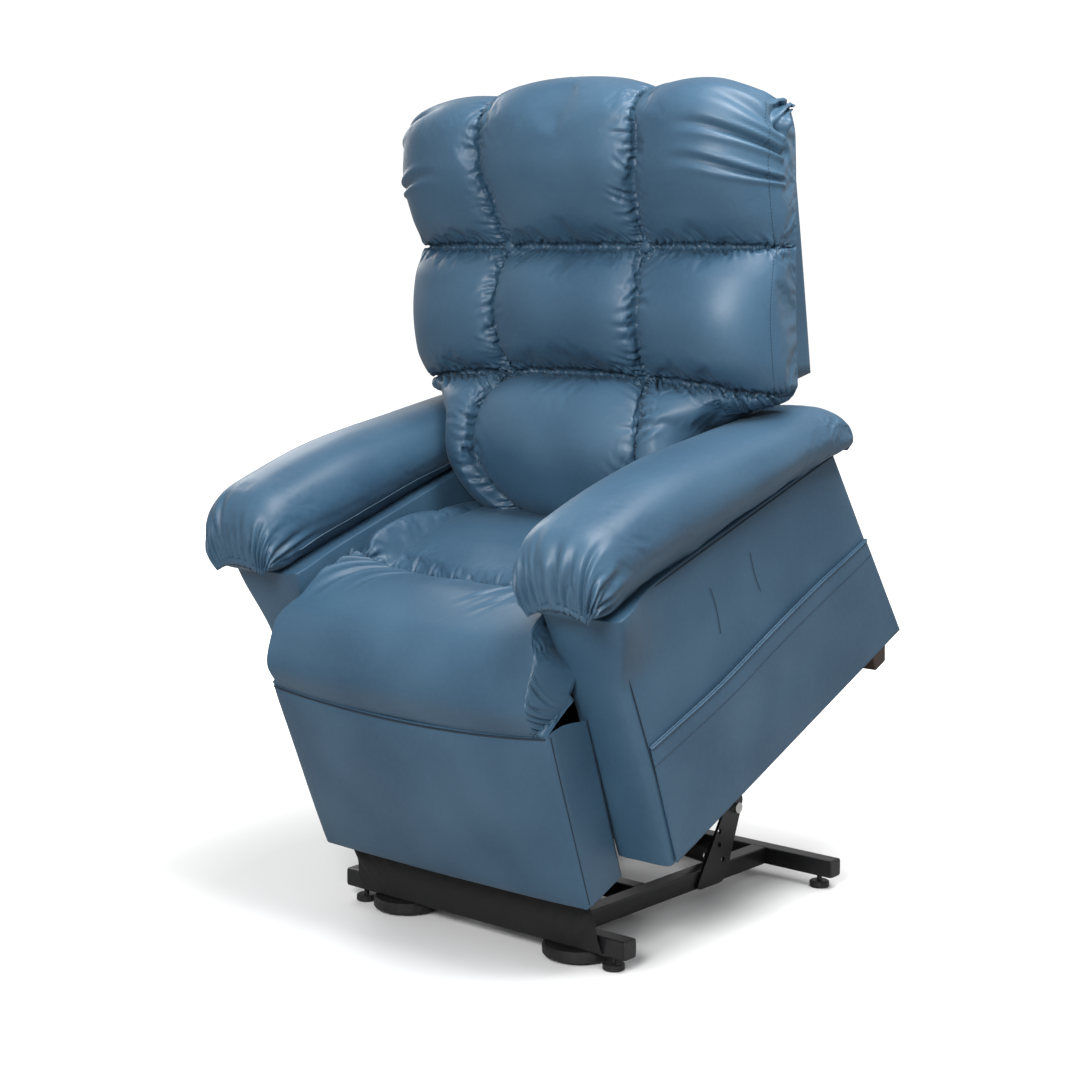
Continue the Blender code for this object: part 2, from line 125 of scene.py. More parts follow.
# %% Camera
bpy.context.scene.view_settings.view_transform = "Standard"
camera_data = bpy.data.cameras.new("camera")
camera_data.lens = 71.01
camera_data.sensor_width = 36.0
camera = bpy.data.objects.new("camera", camera_data)
camera.location = (2.5863, -2.8285 + SHIFT, 1.2685)
camera.rotation_euler = (math.radians(90.0 - 7.877), 0.0, math.radians(40.88))
bpy.context.scene.collection.objects.link(camera)
bpy.context.scene.camera = camera
print("camera with a lens of", camera_data.lens, "mm")

# %% [markdown]
# A studio: a pale floor, a pale world and large soft lamps.  The big lamp overhead and to the
# right draws the long highlights on the arms, and a weak one at the left lifts the far edges.

# %% Floor and lights
floor_mesh = bpy.data.meshes.new("floor")
floor_mesh.from_pydata([(-9, -9, 0), (9, -9, 0), (9, 9, 0), (-9, 9, 0)], [], [(0, 1, 2, 3)])
floor = bpy.data.objects.new("floor", floor_mesh)
bpy.context.scene.collection.objects.link(floor)
floor_paint = bpy.data.materials.new("floor_paint")
floor_paint.use_nodes = True
floor_tree = floor_paint.node_tree
floor_shader = floor_tree.nodes["Principled BSDF"]
floor_shader.inputs["Roughness"].default_value = 0.75
floor_shader.inputs["Emission Color"].default_value = (1.0, 1.0, 1.0, 1.0)
floor.data.materials.append(floor_paint)

studio = bpy.data.worlds.new("studio")
studio.use_nodes = True
studio_tree = studio.node_tree
studio_background = studio_tree.nodes["Background"]
studio_background.inputs["Color"].default_value = (1.0, 1.0, 1.0, 1.0)
bpy.context.scene.world = studio


def seen_or_not(tree, unseen, seen):
    """A number that is one value for light that bounces and another where it is looked at."""
    eye = tree.nodes.new("ShaderNodeLightPath")
    level_node = tree.nodes.new("ShaderNodeMapRange")
    level_node.inputs["To Min"].default_value = unseen
    level_node.inputs["To Max"].default_value = seen
    tree.links.new(eye.outputs["Is Camera Ray"], level_node.inputs["Value"])
    return eye.outputs["Is Camera Ray"], level_node.outputs["Result"]


def floor_glow(tree, eye, start, end):
    """A glow of the far floor: 0 up to one distance from the middle and 1 from another on."""
    place = tree.nodes.new("ShaderNodeTexCoord")
    distance = tree.nodes.new("ShaderNodeVectorMath")
    distance.operation = "LENGTH"
    fade = tree.nodes.new("ShaderNodeMapRange")
    fade.inputs["From Min"].default_value = start
    fade.inputs["From Max"].default_value = end
    glow = tree.nodes.new("ShaderNodeMath")
    glow.operation = "MULTIPLY"
    tree.links.new(place.outputs["Object"], distance.inputs[0])
    tree.links.new(distance.outputs["Value"], fade.inputs["Value"])
    tree.links.new(fade.outputs["Result"], glow.inputs[0])
    tree.links.new(eye, glow.inputs[1])
    return glow.outputs["Value"]


floor_eye, floor_shade = seen_or_not(floor_tree, 0.40, 0.98)
floor_tree.links.new(floor_shade, floor_shader.inputs["Base Color"])
floor_tree.links.new(floor_glow(floor_tree, floor_eye, 0.7, 2.2), floor_shader.inputs["Emission Strength"])
studio_light = seen_or_not(studio_tree, 0.50, 1.06)[1]
studio_tree.links.new(studio_light, studio_background.inputs["Strength"])


def lamp(name, place, aim, size, power, color=(1.0, 1.0, 1.0)):
    """A square area lamp at a place, turned to look at a point."""
    data = bpy.data.lights.new(name, "AREA")
    data.size = size
    data.energy = power
    data.color = color
    item = bpy.data.objects.new(name, data)
    item.location = place
    towards = np.array(aim, float) - np.array(place, float)
    flat = math.hypot(towards[0], towards[1])
    item.rotation_euler = (math.atan2(flat, -towards[2]), 0.0, math.atan2(-towards[0], towards[1]))
    bpy.context.scene.collection.objects.link(item)
    return item


lamp("overhead", (1.3, -0.3, 3.2), (0.0, -0.1, 0.8), 1.5, 105.0)
lamp("right_front", (1.5, -3.2, 2.2), (0.0, 0.0, 0.9), 1.0, 105.0)
lamp("left_back", (-2.6, 0.9, 2.2), (0.0, 0.0, 0.9), 1.2, 22.0)

# %% [markdown]
# The leather is a smooth, semi-gloss hide in steel blue.  Its colour drifts gently over a
# cushion, worn spots are a little lighter, and a fine pore pattern breaks up the
# highlights.  All patterns read object coordinates, so they are at their true scale everywhere.

# %% Node helpers
def new_material(name):
    """A material with its shader and a place to add nodes."""
    made = bpy.data.materials.new(name)
    made.use_nodes = True
    tree = made.node_tree
    return made, tree, tree.nodes["Principled BSDF"]


def pattern(tree, kind, scale, detail=3.0, rough=0.5, stretch=(1.0, 1.0, 1.0)):
    """A noise or cell pattern on object coordinates; scale is in patches per metre."""
    place = tree.nodes.new("ShaderNodeTexCoord")
    mapping = tree.nodes.new("ShaderNodeMapping")
    mapping.inputs["Scale"].default_value = stretch
    tree.links.new(place.outputs["Object"], mapping.inputs["Vector"])
    node = tree.nodes.new("ShaderNodeTexNoise" if kind == "noise" else "ShaderNodeTexVoronoi")
    node.inputs["Scale"].default_value = scale
    if kind == "noise":
        node.inputs["Detail"].default_value = detail
        node.inputs["Roughness"].default_value = rough
    tree.links.new(mapping.outputs["Vector"], node.inputs["Vector"])
    return node.outputs["Fac"] if kind == "noise" else node.outputs["Distance"]


def ramp(tree, source, stops):
    """A colour ramp over a pattern; stops are (position, colour)."""
    node = tree.nodes.new("ShaderNodeValToRGB")
    while len(node.color_ramp.elements) < len(stops):
        node.color_ramp.elements.new(0.5)
    for element, (position, color) in zip(node.color_ramp.elements, stops):
        element.position = position
        element.color = (*color, 1.0)
    tree.links.new(source, node.inputs["Fac"])
    return node.outputs["Color"]


def level(tree, source, low, high):
    """A pattern's 0 to 1 brought to another range of numbers."""
    node = tree.nodes.new("ShaderNodeMapRange")
    node.inputs["To Min"].default_value = low
    node.inputs["To Max"].default_value = high
    tree.links.new(source, node.inputs["Value"])
    return node.outputs["Result"]


def mixed(tree, factor, first, second):
    """Two colours mixed by a pattern."""
    node = tree.nodes.new("ShaderNodeMix")
    node.data_type = "RGBA"
    tree.links.new(factor, node.inputs["Factor"])
    for socket, value in ((node.inputs[6], first), (node.inputs[7], second)):
        if isinstance(value, tuple):
            socket.default_value = (*value, 1.0)
        else:
            tree.links.new(value, socket)
    return node.outputs[2]


def bumps(tree, shader, layers):
    """Bump nodes in a row; layers are (pattern, strength, depth in metres)."""
    last = None
    for height, strength, depth in layers:
        node = tree.nodes.new("ShaderNodeBump")
        node.inputs["Strength"].default_value = strength
        node.inputs["Distance"].default_value = depth
        tree.links.new(height, node.inputs["Height"])
        if last is not None:
            tree.links.new(last, node.inputs["Normal"])
        last = node.outputs["Normal"]
    tree.links.new(last, shader.inputs["Normal"])


# %% Leather
def make_leather(name, dark, light):
    """Steel blue hide: slow colour drift, paler rubbed spots, uneven gloss, pores and grain."""
    made, tree, shader = new_material(name)
    slow = pattern(tree, "noise", 6.0, 1.0)
    fine = pattern(tree, "noise", 110.0, 2.0)
    drift = ramp(tree, slow, [(0.30, dark), (0.72, light)])
    rubbed = level(tree, fine, -0.10, 0.20)
    tree.links.new(mixed(tree, rubbed, drift, (0.070, 0.140, 0.205)), shader.inputs["Base Color"])
    tree.links.new(level(tree, slow, 0.52, 0.40), shader.inputs["Roughness"])
    shader.inputs["Specular IOR Level"].default_value = 0.42
    shader.inputs["Sheen Weight"].default_value = 0.04
    shader.inputs["Sheen Roughness"].default_value = 0.45
    pores = pattern(tree, "noise", 650.0, 1.0)
    bumps(tree, shader, [(fine, 0.22, 0.0008), (pores, 0.20, 0.0003)])
    return made


LEATHER_DARK = (0.024, 0.066, 0.117)
LEATHER_LIGHT = (0.040, 0.094, 0.153)
LEATHER = make_leather("blue_leather", LEATHER_DARK, LEATHER_LIGHT)
print("leather from", LEATHER_DARK, "to", LEATHER_LIGHT)

# %% [markdown]
# Every cover below starts as a grid: rows and columns of points that follow the pattern pieces
# of the real cover.  Faces come from the grid's own order, ends close onto one point, and the
# enclosed volume says whether the faces look outwards.

# %% Grid helpers
def outward(points, quads):
    """Quads turned round if the volume that they enclose comes out negative."""
    a, b, c, d = (points[quads[:, k]] for k in range(4))
    volume = np.einsum("ij,ij->i", a, np.cross(b, c)).sum()
    volume += np.einsum("ij,ij->i", a, np.cross(c, d)).sum()
    return quads if volume > 0.0 else quads[:, ::-1]


def piece(name, points, faces, material):
    """A mesh object from points and faces, smooth, at the origin."""
    mesh = bpy.data.meshes.new(name)
    mesh.from_pydata([tuple(p) for p in points.tolist()], [], [tuple(f) for f in faces])
    mesh.update()
    mesh.shade_smooth()
    item = bpy.data.objects.new(name, mesh)
    mesh.materials.append(material)
    bpy.context.scene.collection.objects.link(item)
    return item


def quads_of(ids):
    """The quads between neighbouring rows and columns of a table of point numbers."""
    return np.stack([ids[:-1, :-1], ids[:-1, 1:], ids[1:, 1:], ids[1:, :-1]], -1).reshape(-1, 4)


def pillow(name, front, rear, material):
    """A closed form of two grids that share their outer edge."""
    rows, columns = front.shape[:2]
    ids = np.arange(rows * columns).reshape(rows, columns)
    back = ids.copy()
    inner = (rows - 2) * (columns - 2)
    back[1:-1, 1:-1] = rows * columns + np.arange(inner).reshape(rows - 2, columns - 2)
    points = np.concatenate([front.reshape(-1, 3), rear[1:-1, 1:-1].reshape(-1, 3)])
    quads = np.concatenate([quads_of(ids), quads_of(back)[:, ::-1]])
    return piece(name, points, outward(points, quads).tolist(), material)


def ladder(ring):
    """Quads that close a ring: rungs join each point to the one opposite it."""
    half = len(ring) // 2
    near, far = ring[:half], ring[::-1][:half]
    return np.stack([near[:-1], near[1:], far[1:], far[:-1]], -1)


def tube(name, rings, material):
    """A closed form of rings: each row is a ring with an even count, and ladders close the ends."""
    rows, columns = rings.shape[:2]
    ids = np.arange(rows * columns).reshape(rows, columns)
    quads = quads_of(np.concatenate([ids, ids[:, :1]], axis=1))
    quads = np.concatenate([quads, ladder(ids[0])[:, ::-1], ladder(ids[-1])])
    points = rings.reshape(-1, 3)
    return piece(name, points, outward(points, quads).tolist(), material)


def dense(count, pull=0.75):
    """Numbers from 0 to 1, closer together near both ends."""
    t = np.linspace(0.0, 1.0, count)
    return t - pull * np.sin(2.0 * math.pi * t) / (2.0 * math.pi)


def along(t, *stops):
    """A smooth curve of numbers through (position, value) stops that never overshoots: each
    slope is the harmonic mean of the slopes on both sides, or level where they differ in sign."""
    places = np.array([stop[0] for stop in stops], float)
    values = np.array([stop[1] for stop in stops], float)
    secants = np.diff(values) / np.diff(places)
    same = secants[:-1] * secants[1:] > 0.0
    total = np.where(same, secants[:-1] + secants[1:], 1.0)
    inner = np.where(same, 2.0 * secants[:-1] * secants[1:] / total, 0.0)
    slopes = np.concatenate([secants[:1], inner, secants[-1:]])
    t = np.clip(t, places[0], places[-1])
    k = np.clip(np.searchsorted(places, t, side="right") - 1, 0, len(places) - 2)
    width = places[k + 1] - places[k]
    s = (t - places[k]) / width
    start = values[k] * (1 + 2 * s) * (1 - s) ** 2 + slopes[k] * width * s * (1 - s) ** 2
    return start + values[k + 1] * s * s * (3 - 2 * s) - slopes[k + 1] * width * s * s * (1 - s)


def normals(grid):
    """Unit normals of a grid: the cross product of its two tangents."""
    across = np.gradient(grid, axis=1)
    down = np.gradient(grid, axis=0)
    n = np.cross(across, down)
    return n / np.maximum(np.linalg.norm(n, axis=-1, keepdims=True), 1e-12)


def lengths(grid):
    """Distances along the rows and along the columns of a grid, in metres from its first line."""
    right = np.linalg.norm(np.diff(grid, axis=1), axis=-1)
    up = np.linalg.norm(np.diff(grid, axis=0), axis=-1)
    s = np.concatenate([np.zeros((len(grid), 1)), np.cumsum(right, axis=1)], axis=1)
    t = np.concatenate([np.zeros((1, grid.shape[1])), np.cumsum(up, axis=0)], axis=0)
    return s, t


# %% [markdown]
# Leather that is gathered into a seam makes short folds that run away from the seam.  Each fold
# is a curved stroke: a narrow valley with a soft ridge on either side, deepest at the seam and
# fading to its tip.  A row of them with a fixed random seed gives an uneven, natural gather.

# %% Folds
def fold(s, t, start, end, depth, width, bend=0.0):
    """Height of one fold at pattern points (s, t): minus a bell across it, plus two side bells."""
    run = np.array(end, float) - np.array(start, float)
    length = max(float(np.hypot(*run)), 1e-6)
    ds, dt = s - start[0], t - start[1]
    on = (ds * run[0] + dt * run[1]) / length ** 2
    off = (ds * run[1] - dt * run[0]) / length - bend * 4.0 * on * (1.0 - on)
    fade = smooth(on / 0.10 + 1.0) * smooth((1.0 - on) / 0.85)
    fade = fade * np.where((on > -0.12) & (on < 1.0), 1.0, 0.0)
    spread = width * (0.55 + 0.6 * np.clip(on, 0.0, 1.0))
    valley = np.exp(-(off / spread) ** 2)
    ridges = np.exp(-((np.abs(off) - 2.0 * spread) / spread) ** 2)
    return depth * fade * (0.45 * ridges - valley)


def gather(s, t, line, towards, seed, spacing, reach, depth, width, lean=0.0):
    """Folds all along a seam.  line is (s, t) points of the seam and towards is +1 or -1, the
    side that the folds run to.  Spacing, reach and depth vary by up to a half, from the seed."""
    rng = np.random.default_rng(seed)
    line = np.asarray(line, float)
    steps = np.linalg.norm(np.diff(line, axis=0), axis=1)
    far = np.concatenate([[0.0], np.cumsum(steps)])
    height = np.zeros_like(s)
    place = spacing * rng.uniform(0.2, 0.8)
    while place < far[-1]:
        start = np.array([np.interp(place, far, line[:, 0]), np.interp(place, far, line[:, 1])])
        ahead = np.array([np.interp(place + 0.004, far, line[:, 0]),
                          np.interp(place + 0.004, far, line[:, 1])]) - start
        if np.hypot(*ahead) < 1e-6:
            break
        ahead /= np.hypot(*ahead)
        side = np.array([-ahead[1], ahead[0]]) * towards
        turn = lean + rng.normal(0.0, 0.22)
        size = rng.uniform(0.45, 1.35)
        tip = start + (side * math.cos(turn) + ahead * math.sin(turn)) * reach * size
        deep = depth * rng.uniform(0.4, 1.2)
        height += fold(s, t, start, tip, deep, width * rng.uniform(0.7, 1.3), rng.normal(0, 0.003))
        place += spacing * rng.uniform(0.6, 1.5)
    return height


def rumple(points, seed, size, height):
    """Slow unevenness: a sum of eight plane waves with random directions and starts."""
    rng = np.random.default_rng(seed)
    total = np.zeros(points.shape[:-1])
    for _ in range(8):
        direction = rng.normal(size=3)
        direction *= rng.uniform(0.6, 1.6) / (np.linalg.norm(direction) * size)
        total += np.sin(points @ direction * 2.0 * math.pi + rng.uniform(0, 2 * math.pi))
    return height * total / 4.0


# %% [markdown]
# A stuffed cover is then blown up with cloth simulation: its seams are pinned, air pressure
# pushes it out, and the cloth is a little larger than the form, so it buckles where it is held.
# The move of each point is capped, which keeps the cushion inside its own space.

# %% Stuffing
def points_of(item, what="co"):
    """The places of a mesh's points, or their normals, as rows of three numbers."""
    flat = np.empty(len(item.data.vertices) * 3)
    item.data.vertices.foreach_get(what, flat)
    return flat.reshape(-1, 3)


def stuff(item, pinned, pressure=3.0, shrink=-0.02, frames=14, cap=0.012):
    """Blow a cover up with Blender's Cloth and write the result back into the mesh."""
    rest = points_of(item)
    group = item.vertex_groups.new(name="pinned")
    group.add([int(k) for k in np.flatnonzero(pinned)], 1.0, "REPLACE")
    cloth = item.modifiers.new("Cloth", "CLOTH")
    settings = cloth.settings
    settings.quality = 5
    settings.mass = 0.3
    settings.tension_stiffness = 20.0
    settings.compression_stiffness = 12.0
    settings.shear_stiffness = 8.0
    settings.bending_stiffness = 0.6
    settings.use_pressure = True
    settings.uniform_pressure_force = pressure
    settings.vertex_group_mass = "pinned"
    settings.shrink_min = shrink
    settings.effector_weights.gravity = 0.0
    cloth.collision_settings.use_collision = False
    cloth.point_cache.frame_end = frames + 1
    for step in range(1, frames + 1):
        bpy.context.scene.frame_set(step)
    move = points_of(item.evaluated_get(bpy.context.evaluated_depsgraph_get())) - rest
    far = np.linalg.norm(move, axis=1, keepdims=True)
    move *= cap * np.tanh(far / cap) / np.maximum(far, 1e-9)
    item.modifiers.remove(cloth)
    item.vertex_groups.remove(group)
    item.data.vertices.foreach_set("co", (rest + move).ravel())
    item.data.update()
    bpy.context.scene.frame_set(1)
    print(item.name, "stuffed: furthest move", round(float(far.max()) * 1000, 1), "mm")
    return item


def refine(item, levels=1):
    """One round of subdivision, the same in the view and in a render."""
    modifier = item.modifiers.new("Subdivision", "SUBSURF")
    modifier.levels = levels
    modifier.render_levels = levels
    return item


def doubled(values):
    """Twice the steps along the first axis: each new point is (9 (b + c) - (a + d)) / 16, from
    its two neighbours b, c and the next ones a, d."""
    before = np.concatenate([2 * values[:1] - values[1:2], values[:-2]])
    after = np.concatenate([values[2:], 2 * values[-1:] - values[-2:-1]])
    out = np.empty((2 * len(values) - 1,) + values.shape[1:])
    out[::2] = values
    out[1::2] = (9 * (values[:-1] + values[1:]) - before - after) / 16
    return out


def finer(grid):
    """A grid with twice the rows and columns."""
    return np.swapaxes(doubled(np.swapaxes(doubled(grid), 0, 1)), 0, 1)


def wider(grid):
    """A grid with twice the columns only, for folds that run along them."""
    return np.swapaxes(doubled(np.swapaxes(grid, 0, 1)), 0, 1)


def finer_pillow(item, shape, more):
    """The same stuffed form on a finer grid, ready for its folds; more is finer or wider."""
    points = points_of(item)
    size = shape[0] * shape[1]
    front = points[:size].reshape(*shape, 3)
    rear = front.copy()
    rear[1:-1, 1:-1] = points[size:].reshape(shape[0] - 2, shape[1] - 2, 3)
    name, material = item.name, item.data.materials[0]
    bpy.data.meshes.remove(item.data)
    return pillow(name, more(front), more(rear), material)


def padded(item, body, fill, *nodes):
    """Put a stuffed piece on its body and hide the CAD solids it stands for; fill is not used."""
    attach(item, body)
    if nodes:
        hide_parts(*nodes)
    return item


# %% [markdown]
# The back is one cover over three rows of three stuffed pockets.  Two seams run up it and over
# the top, two run across it, and a button is pulled in where the upper ones cross.  The outer
# pockets wrap round the sides as a boxing strip, and the lowest row narrows to pass between the
# arms.  It is a grid of U across (0 in the middle, 1 at a seam, 2 at the rear edge of the
# boxing) and V up (0 at the foot, 1 and 2 at the row seams, 3 at the rear edge of the top).

# %% Back: pattern lines
ROW_COUNTS = (40, 40, 70)
OUTER_COUNT = 62
INNER_COUNT = 58
BOX_ROUND = 3.4


def wrap(c):
    """Share of width and share of depth at c along a rounded box edge, evenly by length."""
    angle = (math.pi / 2) * np.linspace(0.0, 1.0, 3000) ** 1.8
    wide = np.sin(angle) ** (2.0 / BOX_ROUND)
    deep = np.cos(angle) ** (2.0 / BOX_ROUND)
    steps = np.hypot(0.25 * np.diff(wide), 0.12 * np.diff(deep))
    length = np.concatenate([[0.0], np.cumsum(steps)])
    angle = np.interp(c, length / length[-1], angle)
    return np.sin(angle) ** (2.0 / BOX_ROUND), np.cos(angle) ** (2.0 / BOX_ROUND)


def back_seam_x(v):
    """Half distance between the two upright seams."""
    return along(v, (0, 0.095), (0.2, 0.160), (0.45, 0.200), (0.7, 0.196), (0.88, 0.176), (1, 0.160),
                 (1.25, 0.170), (1.5, 0.172), (1.75, 0.170), (2, 0.166), (2.25, 0.172), (2.5, 0.186),
                 (2.7, 0.184), (2.85, 0.178), (3, 0.172))


def back_edge_x(v):
    """Half width at the boxing's rear edge: full above the arms, narrow between them."""
    return along(v, (0, 0.240), (0.3, 0.268), (0.55, 0.274), (0.68, 0.290), (0.84, 0.345),
                 (0.95, 0.408), (1, 0.420), (1.1, 0.428), (1.5, 0.428), (1.9, 0.430), (2, 0.431),
                 (2.3, 0.429), (2.6, 0.426), (2.8, 0.414), (3, 0.402))


def back_depth(v):
    """How far back the upright seams lie: pulled in at each row seam, rolled over at the top."""
    return along(v, (0, 0.262), (0.25, 0.222), (0.5, 0.202), (0.75, 0.218), (1, 0.268),
                 (1.25, 0.242), (1.5, 0.232), (1.75, 0.242), (2, 0.262), (2.2, 0.232),
                 (2.45, 0.207), (2.65, 0.206), (2.8, 0.232), (2.92, 0.282), (3, 0.340))


def back_height(v, side):
    """Height of a point; side is 0 in the middle and 1 at the outer edge of the back."""
    middle = along(v, (0, 0.748), (0.5, 0.892), (1, 1.030), (1.5, 1.150), (2, 1.266), (2.2, 1.340),
                   (2.45, 1.431), (2.65, 1.498), (2.8, 1.531), (2.92, 1.546), (3, 1.535))
    outer = along(v, (0, 0.748), (0.3, 0.840), (0.55, 0.905), (0.68, 0.935), (0.84, 0.970),
                  (1, 1.002), (1.5, 1.136), (2, 1.266), (2.2, 1.330), (2.45, 1.405),
                  (2.65, 1.458), (2.8, 1.483), (2.92, 1.494), (3, 1.488))
    return middle + (outer - middle) * side ** 2.2


def back_rear(v):
    """How far back the boxing reaches."""
    return along(v, (0, 0.406), (1, 0.374), (2, 0.357), (3, 0.353))


# %% Back: the grid
def back_grid():
    """Points of the base form: seam curves across and up, and a rounded box edge at the sides."""
    inner = 2.0 * dense(INNER_COUNT + 1, 0.45)[INNER_COUNT // 2:] - 1.0
    outer = 1.0 + dense(OUTER_COUNT + 1, 0.35)[1:]
    half = np.concatenate([inner, outer])
    u = np.concatenate([-half[:0:-1], half])
    v = np.concatenate([row + dense(count + 1, 0.5)[:-1] for row, count in enumerate(ROW_COUNTS)])
    v = np.append(v, 3.0)
    u, v = np.meshgrid(u, v)
    wide, deep = wrap(np.clip(np.abs(u) - 1.0, 0.0, 1.0))
    seam, edge = back_seam_x(v), back_edge_x(v)
    x = np.where(np.abs(u) <= 1.0, np.abs(u) * seam, seam + (edge - seam) * wide) * np.sign(u)
    rear = back_rear(v)
    y = rear - (rear - back_depth(v)) * deep
    z = back_height(v, np.clip(np.abs(x) / 0.425, 0.0, 1.0))
    z = z + 0.020 * smooth((v - 2.35) / 0.45) * smooth((x - 0.18) / 0.16)
    return u, v, world(x, y, z)


def swell(q, power=4.0):
    """Height of a stuffed pocket across q = 0 to 1: steep at its seams and full in the middle."""
    return np.sqrt(np.clip(1.0 - np.abs(2.0 * q - 1.0) ** power, 0.0, 1.0))


U, V, BACK_BASE = back_grid()
BACK_S, BACK_T = lengths(BACK_BASE)
BACK_NORMAL = normals(BACK_BASE)
if BACK_NORMAL[10, U.shape[1] // 2, 1] > 0.0:
    BACK_NORMAL = -BACK_NORMAL
BACK_SIDE = np.where(np.abs(U) <= 1.0, (U + 1.0) / 2.0, np.clip(np.abs(U) - 1.0, 0.0, 1.0))
BACK_FULL = swell(BACK_SIDE, 3.2) * swell(V - np.floor(np.clip(V, 0.0, 2.9999)), 3.0)
BACK_PUFF = np.where(np.abs(U) <= 1.0, 0.036, 0.030) * BACK_FULL
BACK_PUFF *= np.where(np.abs(U) > 1.0, 1.0 - 0.45 * smooth((np.abs(U) - 1.45) / 0.4), 1.0)
print("back grid", U.shape)


# %% Back: its folds
def line_at(u=None, v=None):
    """The (s, t) points of the grid line nearest to a seam."""
    if v is not None:
        row = int(np.argmin(np.abs(V[:, 0] - v)))
        return np.stack([BACK_S[row], BACK_T[row]], -1)
    column = int(np.argmin(np.abs(U[0] - u)))
    return np.stack([BACK_S[:, column], BACK_T[:, column]], -1)


def back_folds():
    """Short gathers beside every seam, and longer folds on the outer pockets of the lowest row."""
    height = np.zeros_like(U)
    rows = [(1, 1.0, 0.034, 0.0062), (1, -1.0, 0.042, 0.0070), (2, 1.0, 0.040, 0.0062),
            (2, -1.0, 0.036, 0.0066)]
    for index, (v, side, reach, depth) in enumerate(rows):
        near = np.exp(-((V - v) / 0.75) ** 2) * np.where((V - v) * side >= -1e-6, 1.0, 0.0)
        height += near * gather(BACK_S, BACK_T, line_at(v=v), side, 11 + index, 0.0150, reach,
                                depth, 0.0036, 0.15)
    for index, (u, side) in enumerate([(-1, 1.0), (-1, -1.0), (1, 1.0), (1, -1.0)]):
        near = ((U - u) * -side >= -1e-6) & (np.abs(U - u) < 0.9)
        height += near * gather(BACK_S, BACK_T, line_at(u=u), side, 31 + index, 0.0160, 0.044,
                                0.0046, 0.0040, -0.30)
    wing = np.where((np.abs(U) >= 1.0) & (V < 1.0), 1.0, 0.0)
    height += wing * gather(BACK_S, BACK_T, line_at(v=1), -1.0, 51, 0.026, 0.095, 0.0090, 0.0060, 0.2)
    wing = np.where((np.abs(U) >= 1.0) & (V < 0.95), 1.0, 0.0)
    height += wing * (gather(BACK_S, BACK_T, line_at(u=1), -1.0, 52, 0.030, 0.080, 0.0080, 0.0055)
                      + gather(BACK_S, BACK_T, line_at(u=-1), 1.0, 53, 0.022, 0.050, 0.0080, 0.0050))
    return height * smooth((1.97 - np.abs(U)) / 0.20)


KNOT_U, KNOT_V = 1.86, 2.62


def corner_folds(side, folds):
    """Long folds in U and V measured in metres from the rear corner of the top."""
    column = int(np.argmin(np.abs(U[0] - KNOT_U * side)))
    row = int(np.argmin(np.abs(V[:, 0] - KNOT_V)))
    s = (BACK_S - BACK_S[row, column]) * side
    t = BACK_T - BACK_T[row, column]
    height = np.zeros_like(U)
    for start, end, depth, width, bend in folds:
        height += fold(s, t, start, end, depth, width, bend)
    return height * np.where(U * side > 1.02, 1.0, 0.0) * np.where(V > 2.02, 1.0, 0.0)


BACK_HEIGHT = BACK_PUFF + rumple(BACK_BASE, 5, 0.20, 0.0035) * BACK_FULL
BACK_FRONT = BACK_BASE + BACK_NORMAL * BACK_HEIGHT[..., None]
BACK_REAR = BACK_BASE.copy()
BACK_REAR[..., 1] = back_rear(V) + SHIFT + 0.004 * BACK_FULL
BACK_REAR[..., 2] = np.minimum(BACK_REAR[..., 2], 1.545)
BACK_COVER = pillow("back_cover", BACK_FRONT, BACK_REAR, LEATHER)
print("back cover", len(BACK_COVER.data.vertices), "points")

# %% [markdown]
# The back is blown up with its seams held, so each pocket swells between them.  Its grid is then
# made twice as fine, because leather gathers into folds only a few millimetres wide, and those
# folds and the grooves of the seams are pressed into the finer surface.

# %% Back: stuff and crease
SEAMS = (np.abs(np.abs(U) - 1.0) < 1e-6) | (np.abs(V - 1.0) < 1e-6) | (np.abs(V - 2.0) < 1e-6)
SEAMS |= (np.abs(U) > 1.999) | (V < 1e-6) | (V > 2.999)


def front_only(flags, item):
    """Flags for a pillow's points: the grid's own, and every point of its rear held still."""
    held = np.ones(len(item.data.vertices), bool)
    held[:flags.size] = flags.ravel()
    return held


stuff(BACK_COVER, front_only(SEAMS, BACK_COVER), pressure=3.0, shrink=-0.03, frames=10, cap=0.009)


BACK_COVER = finer_pillow(BACK_COVER, U.shape, finer)
U, V = finer(U), finer(V)
BACK_S, BACK_T = lengths(finer(BACK_BASE))


def displace(item, shape, heights):
    """Raise the first points of a mesh, a grid of this shape, along their own normals."""
    points, facing = points_of(item), points_of(item, "normal")
    size = shape[0] * shape[1]
    points[:size] += facing[:size] * heights.reshape(-1, 1)
    item.data.vertices.foreach_set("co", points.ravel())
    item.data.update()
    return item


BACK_LONG = [((0.0, 0.004), (-0.205, 0.120), 0.014, 0.0095, 0.022),
             ((0.0, 0.000), (-0.195, 0.082), 0.015, 0.0095, 0.022),
             ((0.0, -0.008), (-0.175, 0.040), 0.014, 0.0085, 0.022),
             ((-0.006, -0.034), (-0.200, -0.010), 0.013, 0.0080, 0.020),
             ((-0.010, -0.080), (-0.215, -0.068), 0.011, 0.0070, 0.014),
             ((0.0, 0.010), (-0.100, 0.150), 0.012, 0.0080, 0.012),
             ((0.0, 0.0), (0.030, -0.070), 0.008, 0.0070, 0.004)]


def crease(distance, depth, width):
    """The narrow groove of a pulled seam: minus a bell of the distance from it."""
    return -depth * np.exp(-(distance / width) ** 2)


